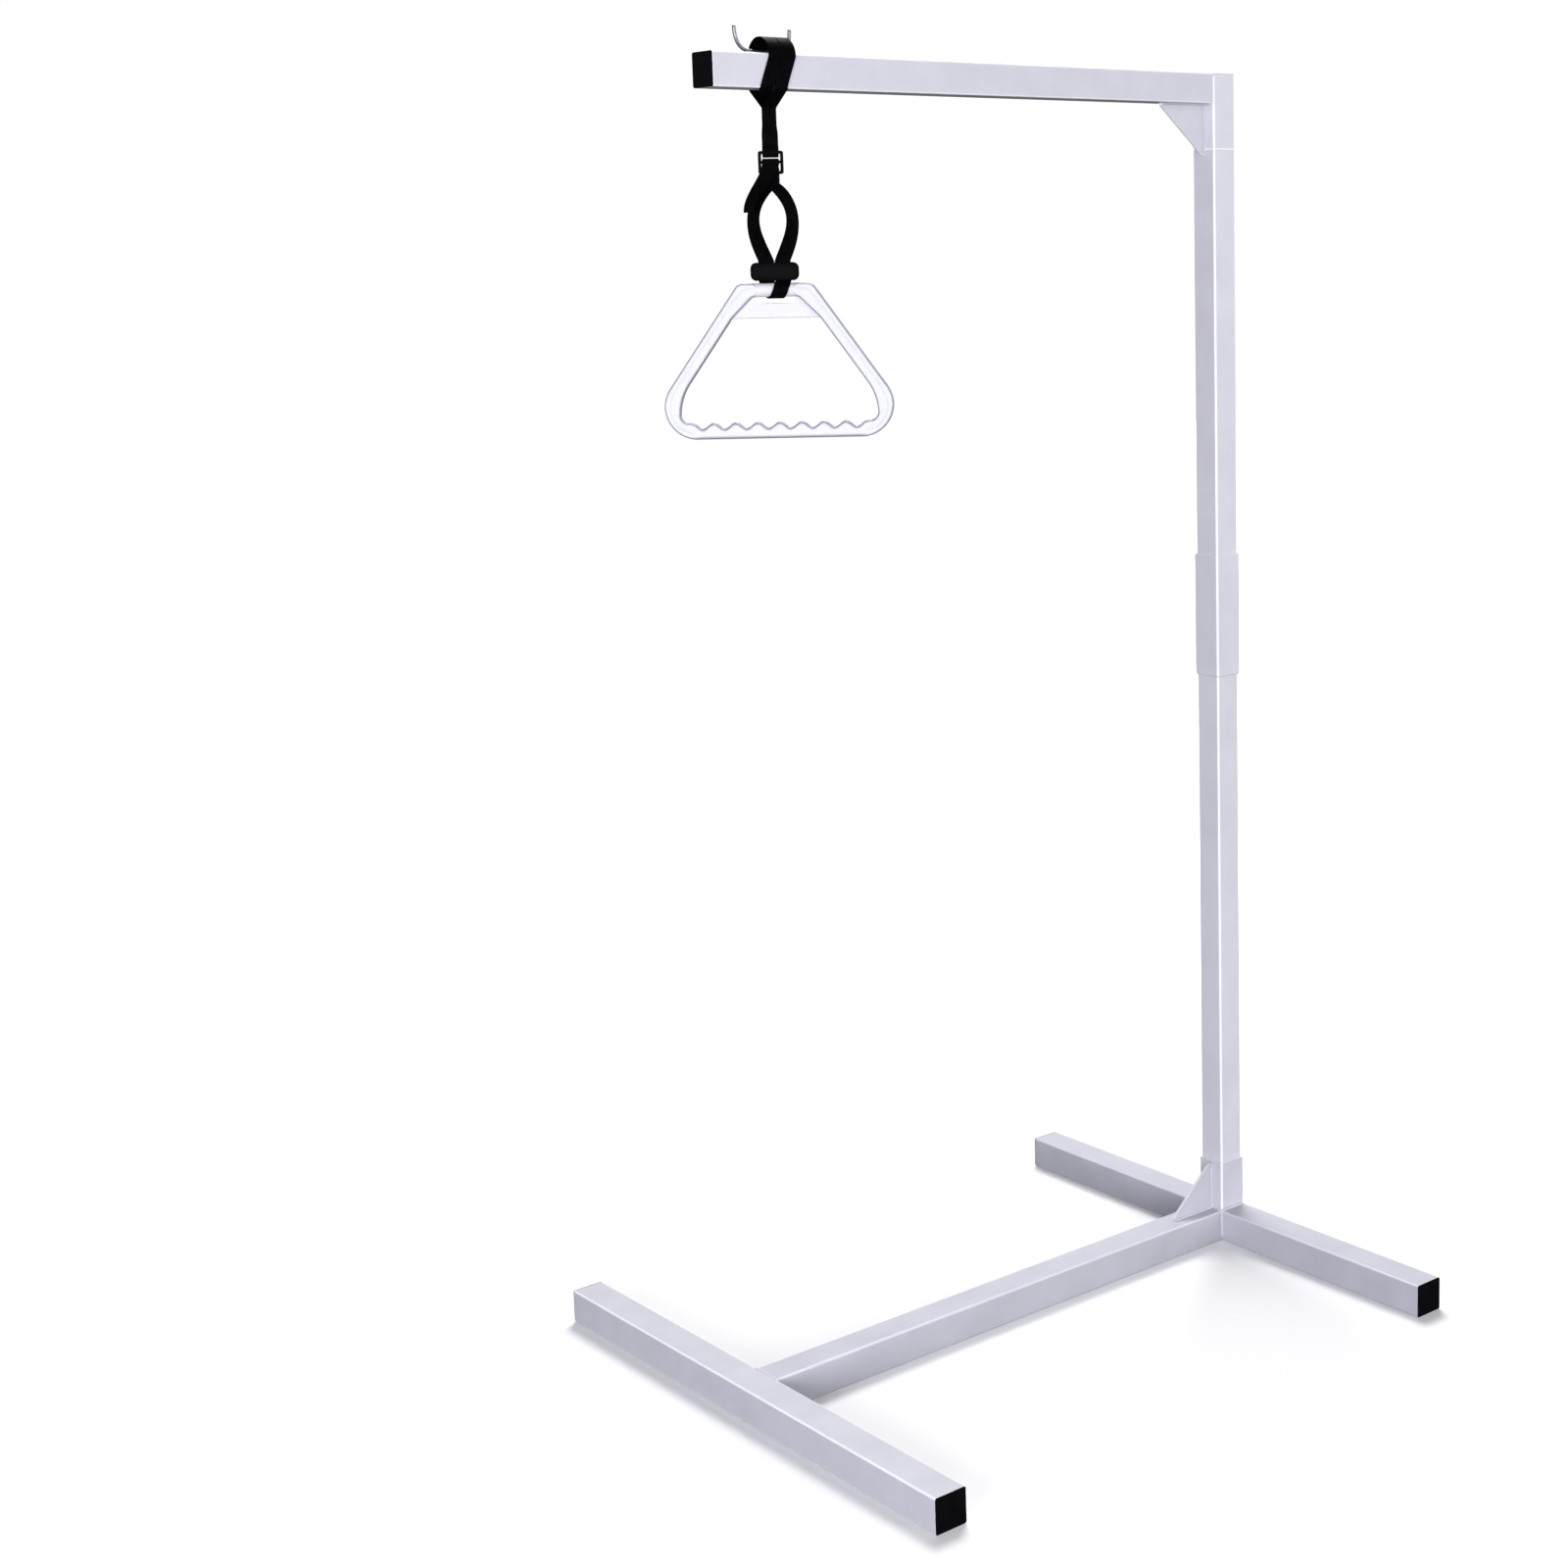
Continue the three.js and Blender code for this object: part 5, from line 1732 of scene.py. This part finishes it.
@dataclass
class GrabHandle:
    """Moulded triangle with a round seat bar, a recessed web and a scalloped grip."""

    stand: Stand
    top_z: float
    width: float = 304.0
    height: float = 204.0
    depth: float = 18.0
    top_half: float = 49.0
    arm_band: float = 18.5
    top_radius: float = 14.0
    bottom_radius: float = 43.0
    recess: tuple[float, float] = (30.5, 5.0)
    web_drop: float = 45.7
    web_depth: float = 5.0
    web_overlap: float = 3.0
    bend_radius: float = 20.0
    side_drop: float = 150.0
    side_radius: float = 75.0
    inner_radius: float = 11.0
    grip: float = 14.4
    grip_half: float = 118.0
    grip_softness: float = 1.6
    crest: float = 7.6
    valleys: int = 8
    pitch: float = 29.3
    seat_half: float = 25.5
    seat_lead: float = 3.0
    seat_drop: float = 26.0
    seat_shoulder: float = 15.0
    edge: float = 4.0
    groove: float = 0.4
    spacing: float = 1.1

    @property
    def slope(self) -> float:
        """Slope of an arm's outer edge.

        The arm's straight line is set by the bottom corner's widest place, so it is found in
        a few passes.

        Returns:
            Millimetres out for each millimetre down.
        """
        run, radius = 1.0, self.bottom_radius
        for _ in range(30):
            half_angle = math.atan2(self.height, run) / 2
            run = self.width / 2 - radius + radius / math.tan(half_angle) - self.top_half
        return run / self.height

    def _arm_inner(self, drop: float) -> float:
        """Half width of the opening at a drop below the top."""
        slope = self.slope
        return self.top_half + slope * drop - self.arm_band * math.hypot(1.0, slope)

    def build(self) -> None:
        """Makes the handle."""
        outer, inner = self._edges()
        aside, height = np.abs(outer[:, 0]), outer[:, 1]
        bar_fade, grip_fade, near = 4.0, 12.0, 1.0
        at_bar = (height > -near) * ease((self.seat_half + self.seat_lead - aside) / bar_fade)
        at_grip = (height < near - self.height) * ease((self.grip_half - aside) / grip_fade)
        radius = self.edge + (self.depth / 2 - self.edge) * at_bar + self.grip_softness * at_grip
        groove = self.groove * (1 - at_bar) * (1 - at_grip)
        frame = band(outer, inner, self.depth, radius, groove)
        # Painted shade on the side walls, none round the seat bar.
        marks = wall_shade_marks(frame, self.depth) * (1 - at_bar)[:, None, None]
        shell = Shell("handle_moulding")
        shell.add(self._set(frame), loop=True, cloth=marks)
        shell.add(self._set(self._web()))
        fix(shell.make(HANDLE_MOULDING), Body.HANDLE, "grab_handle")

    def _set(self, rings: Array) -> Array:
        """Rings turned to the handle's plane and hung at its height."""
        return turned(rings, self.stand.handle_yaw, (self.stand.strap_x, 0.0, self.top_z))

    def _edges(self) -> tuple[Array, Array]:
        """Outer and inner edge of the frame, with matching points.

        Both run from the middle of the top to the middle of the grip, as straight lines and
        true arcs, and are paired at their corners. The left half is the right half's mirror
        image. The inner edge's floor is lowered by a cosine wave with one valley a finger.

        Returns:
            X and Z of the outer edge and of the inner edge.
        """
        slope, half, radius = self.slope, self.top_half, self.bottom_radius
        crest_z, side = self.grip + self.crest - self.height, self._arm_inner(self.side_drop)
        outer, marks = filleted([
            (0.0, 0.0, 0.0), (half, 0.0, self.top_radius),
            (half + slope * self.height, -self.height, radius), (0.0, -self.height, 0.0),
        ])
        inner, stops = filleted([
            (0.0, -self.depth, 0.0), (self.recess[0], -self.depth, self.recess[1]),
            (self._arm_inner(self.web_drop), -self.web_drop, self.bend_radius),
            (side, -self.side_drop, self.side_radius), (side, crest_z, self.inner_radius),
            (0.0, crest_z, 0.0),
        ])
        outer_at, inner_at = lengths(outer), lengths(inner)

        def middle(at: Array, ends: tuple[int, int]) -> float:
            """Length to the middle of an arc."""
            return float(at[ends[0]] + at[ends[1]]) / 2

        def foot(point: Array) -> float:
            """Length to the place on the outer arm that lies square to a point."""
            start = marks[0][1]
            return float(outer_at[start] + (point - outer[start]) @ unit(np.array((slope, -1.0))))

        level = float(outer_at[marks[1][0]]) + radius * math.atan(slope)
        seat_end = self.seat_half + self.seat_lead
        pairs = np.array((
            (0.0, 0.0),
            (seat_end, seat_end),
            (middle(outer_at, marks[0]), middle(inner_at, stops[0])),
            (foot(inner[sum(stops[1]) // 2]), middle(inner_at, stops[1])),
            (foot(inner[stops[2][0]]), inner_at[stops[2][0]]),
            (level, inner_at[stops[2][1]]),
            (level + radius * math.radians(45), middle(inner_at, stops[3])),
            (level + radius * math.radians(78), inner_at[stops[3][1]]),
            (outer_at[-1], inner_at[-1]),
        ))
        runs = [pairs[:1]]
        for start, end in zip(pairs[:-1], pairs[1:]):
            count = int(math.ceil(max(end - start) / self.spacing)) + 1
            runs.append(np.linspace(start, end, count)[1:])
        first, second = np.concatenate(runs).T
        out = along_path(first, outer_at, outer)
        into = along_path(second, inner_at, inner)
        reach = self.valleys * self.pitch / 2
        on_floor = (second > inner_at[stops[3][1]]) & (into[:, 0] < reach)
        wave = (1 - np.cos(2 * math.pi * (into[:, 0] + reach) / self.pitch)) / 2
        into[:, 1] -= self.crest * wave * on_floor
        mirror = (-1.0, 1.0)
        return tuple(np.concatenate((line, line[-2:0:-1] * mirror)) for line in (out, into))

    def _web(self) -> Array:
        """Thin plate under the seat bar; its upper edge drops to clear the strap's loop.

        Returns:
            Rings from the left end to the right.
        """
        opening = self._arm_inner(self.web_drop)
        x = np.linspace(-opening - self.web_overlap, opening + self.web_overlap, 240)
        aside, recess = np.abs(x), self.recess[0]
        lead, run, cover, least, edge = 0.5, 3.0, 3.5, 1.0, 1.5
        shoulder = ease((aside - self.seat_half + lead) / run)
        top = -self.seat_drop + (self.seat_drop - self.seat_shoulder) * shoulder
        fall = (self.web_drop - self.depth) / (opening - recess)
        top = np.minimum(top, -self.depth + cover - fall * (aside - recess))
        top = np.maximum(top, least - self.web_drop)
        upper, lower = np.column_stack((x, top)), raised(x[:, None], -self.web_drop)
        return band(upper, lower, self.web_depth, edge, 0.0)


# ---- studio -------------------------------------------------------------------------------


@dataclass(frozen=True)
class Softbox:
    """Square softbox that faces a point; its sizes are in metres and watts."""

    name: str
    place: tuple[float, float, float]
    aim: tuple[float, float, float]
    size: float
    power: float
    tint: str = WHITE

    def build(self) -> None:
        """Makes the lamp."""
        data = bpy.data.lights.new(self.name, "AREA")
        data.shape, data.size, data.energy = "SQUARE", self.size, self.power
        data.color = linear(self.tint)[:3]
        lamp = linked(self.name, data)
        back = unit(np.array(self.place) - np.array(self.aim))
        side = unit(np.cross(Z_AXIS, back))
        lamp.matrix_world = view_matrix(side, np.cross(back, side), back, self.place)


@dataclass
class Studio:
    """Pale floor, soft light and the photograph's camera."""

    camera_place: tuple[float, float, float] = (-2.268186, -2.702036, 1.590558)
    azimuth: float = -41.1063
    elevation: float = 9.5427
    roll: float = -1.1339
    lens: float = 56.615
    shift: tuple[float, float] = (-0.1621, -0.0753)
    softboxes: tuple[Softbox, ...] = (
        Softbox("back_softbox", (1.8, 2.0, 4.4), (0.0, 0.0, 0.2), 2.0, 218.0),
        Softbox("front_softbox", (-3.6, -5.6, 1.1), (0.1, 0.0, 0.9), 2.0, 132.0),
        Softbox("left_softbox", (-4.4, -1.9, 1.1), (0.1, 0.0, 0.9), 2.6, 150.0, "#F8F8FF"),
        Softbox("right_softbox", (1.6, -5.5, 1.3), (0.2, 0.0, 0.9), 2.0, 60.0, "#FFFFFB"),
    )
    tent: tuple[float, float] = (0.12, 2.44)
    dark_side: tuple[float, float, float] = (-0.7547, 0.6561, 0.0)
    dark_level: float = 0.15
    floor_half: float = 14.0
    floor_z: float = -0.0003
    glow_reach: tuple[float, float] = (0.9, 3.5)
    glow: tuple[float, float] = (0.06, 1.0)

    def build(self) -> None:
        """Makes the floor, the lights, the world and the camera."""
        self._camera()
        self._floor()
        for softbox in self.softboxes:
            softbox.build()
        self._world()
        bpy.context.scene.view_settings.view_transform = "Standard"

    def _world(self) -> None:
        """White backdrop to look at, and a light tent that is brightest at its foot.

        Above the floor the tent's strength is the foot's level times (1 - sine of the
        elevation) squared, and below the floor it is one low level. One side of the tent is
        dark, which draws the edges of the white handle.
        """
        world = bpy.data.worlds.new("light_tent")
        tree = cleared(world)
        low, foot = self.tent
        direction = add_node(tree, "TexCoord").outputs["Generated"]
        height = add_node(tree, "SeparateXYZ", links={0: direction}).outputs[2]
        fall = add_node(tree, "Math", {"operation": "SUBTRACT"}, {0: 1.0}, {1: height}).outputs[0]
        fall = add_node(tree, "Math", {"operation": "POWER"}, {1: 2.0}, {0: fall}).outputs[0]
        facing = add_node(
            tree, "VectorMath", {"operation": "DOT_PRODUCT"}, {1: self.dark_side}, {0: direction}
        ).outputs["Value"]
        span = dict(zip(SPAN, (0.0, 1.0, foot, foot * self.dark_level)))
        side = add_node(tree, "MapRange", values=span, links={"Value": facing}).outputs[0]
        product = {"operation": "MULTIPLY"}
        above = add_node(tree, "Math", product, links={0: fall, 1: side}).outputs[0]
        under = add_node(tree, "Math", {"operation": "LESS_THAN"}, {1: 0.0}, {0: height}).outputs[0]
        level = add_node(tree, "Mix", values={3: low}, links={0: under, 2: above}).outputs[0]
        tint = {"Color": linear("#FCFCFF")}
        tent = add_node(tree, "Background", values=tint, links={"Strength": level}).outputs[0]
        white = {"Color": linear(WHITE), "Strength": 1.0}
        backdrop = add_node(tree, "Background", values=white).outputs[0]
        seen = add_node(tree, "LightPath").outputs["Is Camera Ray"]
        both = add_node(tree, "MixShader", links={0: seen, 1: tent, 2: backdrop}).outputs[0]
        add_node(tree, "OutputWorld", links={"Surface": both})
        bpy.context.scene.world = world

    def _camera(self) -> None:
        """Camera at the photograph's angle: aimed by azimuth and elevation, then rolled."""
        data = bpy.data.cameras.new("photo_camera")
        data.lens = self.lens
        data.sensor_width = 36.0
        data.shift_x, data.shift_y = self.shift
        camera = linked("photo_camera", data)
        azimuth, elevation, roll = map(math.radians, (self.azimuth, self.elevation, self.roll))
        back = np.array((
            math.sin(azimuth) * math.cos(elevation),
            -math.cos(azimuth) * math.cos(elevation),
            math.sin(elevation),
        ))
        level = unit(np.cross(Z_AXIS, back))
        right = math.cos(roll) * level + math.sin(roll) * np.cross(back, level)
        camera.matrix_world = view_matrix(right, np.cross(back, right), back, self.camera_place)
        bpy.context.scene.camera = camera

    def _floor(self) -> None:
        """Large pale floor, a hair below the feet, that glows at its far part to have no edge."""
        mesh = bpy.data.meshes.new("studio_floor")
        corners = [(x * self.floor_half, y * self.floor_half, self.floor_z) for x, y in QUARTERS]
        mesh.from_pydata(corners, [], [(0, 1, 2, 3)])
        floor = linked("studio_floor", mesh)
        material = bpy.data.materials.new("floor_matt_white")
        tree = cleared(material)
        place = add_node(tree, "TexCoord").outputs["Object"]
        length = {"operation": "LENGTH"}
        away = add_node(tree, "VectorMath", length, links={0: place}).outputs["Value"]
        span = dict(zip(SPAN, (*self.glow_reach, *self.glow)))
        glow = add_node(tree, "MapRange", values=span, links={"Value": away}).outputs[0]
        values = {
            "Base Color": linear("#F5F5F7"), "Roughness": 0.95, "Specular IOR Level": 0.1,
            "Emission Color": linear(WHITE),
        }
        links = {"Emission Strength": glow}
        shader = add_node(tree, "BsdfPrincipled", values=values, links=links).outputs[0]
        add_node(tree, "OutputMaterial", links={"Surface": shader})
        mesh.materials.append(material)
        floor.visible_diffuse = False
        floor.visible_glossy = False


def main() -> None:
    """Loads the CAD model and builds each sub-assembly over it."""
    logging.basicConfig(level=logging.INFO, format="%(name)s: %(message)s")
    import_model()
    stand = Stand()
    Studio().build()
    Base(stand).build()
    LowerColumn(stand).build()
    Mast(stand).build()
    strap = Strap(stand)
    strap.build()
    GrabHandle(stand, strap.bar_z + strap.seat_bar_radius).build()


if __name__ == "__main__":
    main()
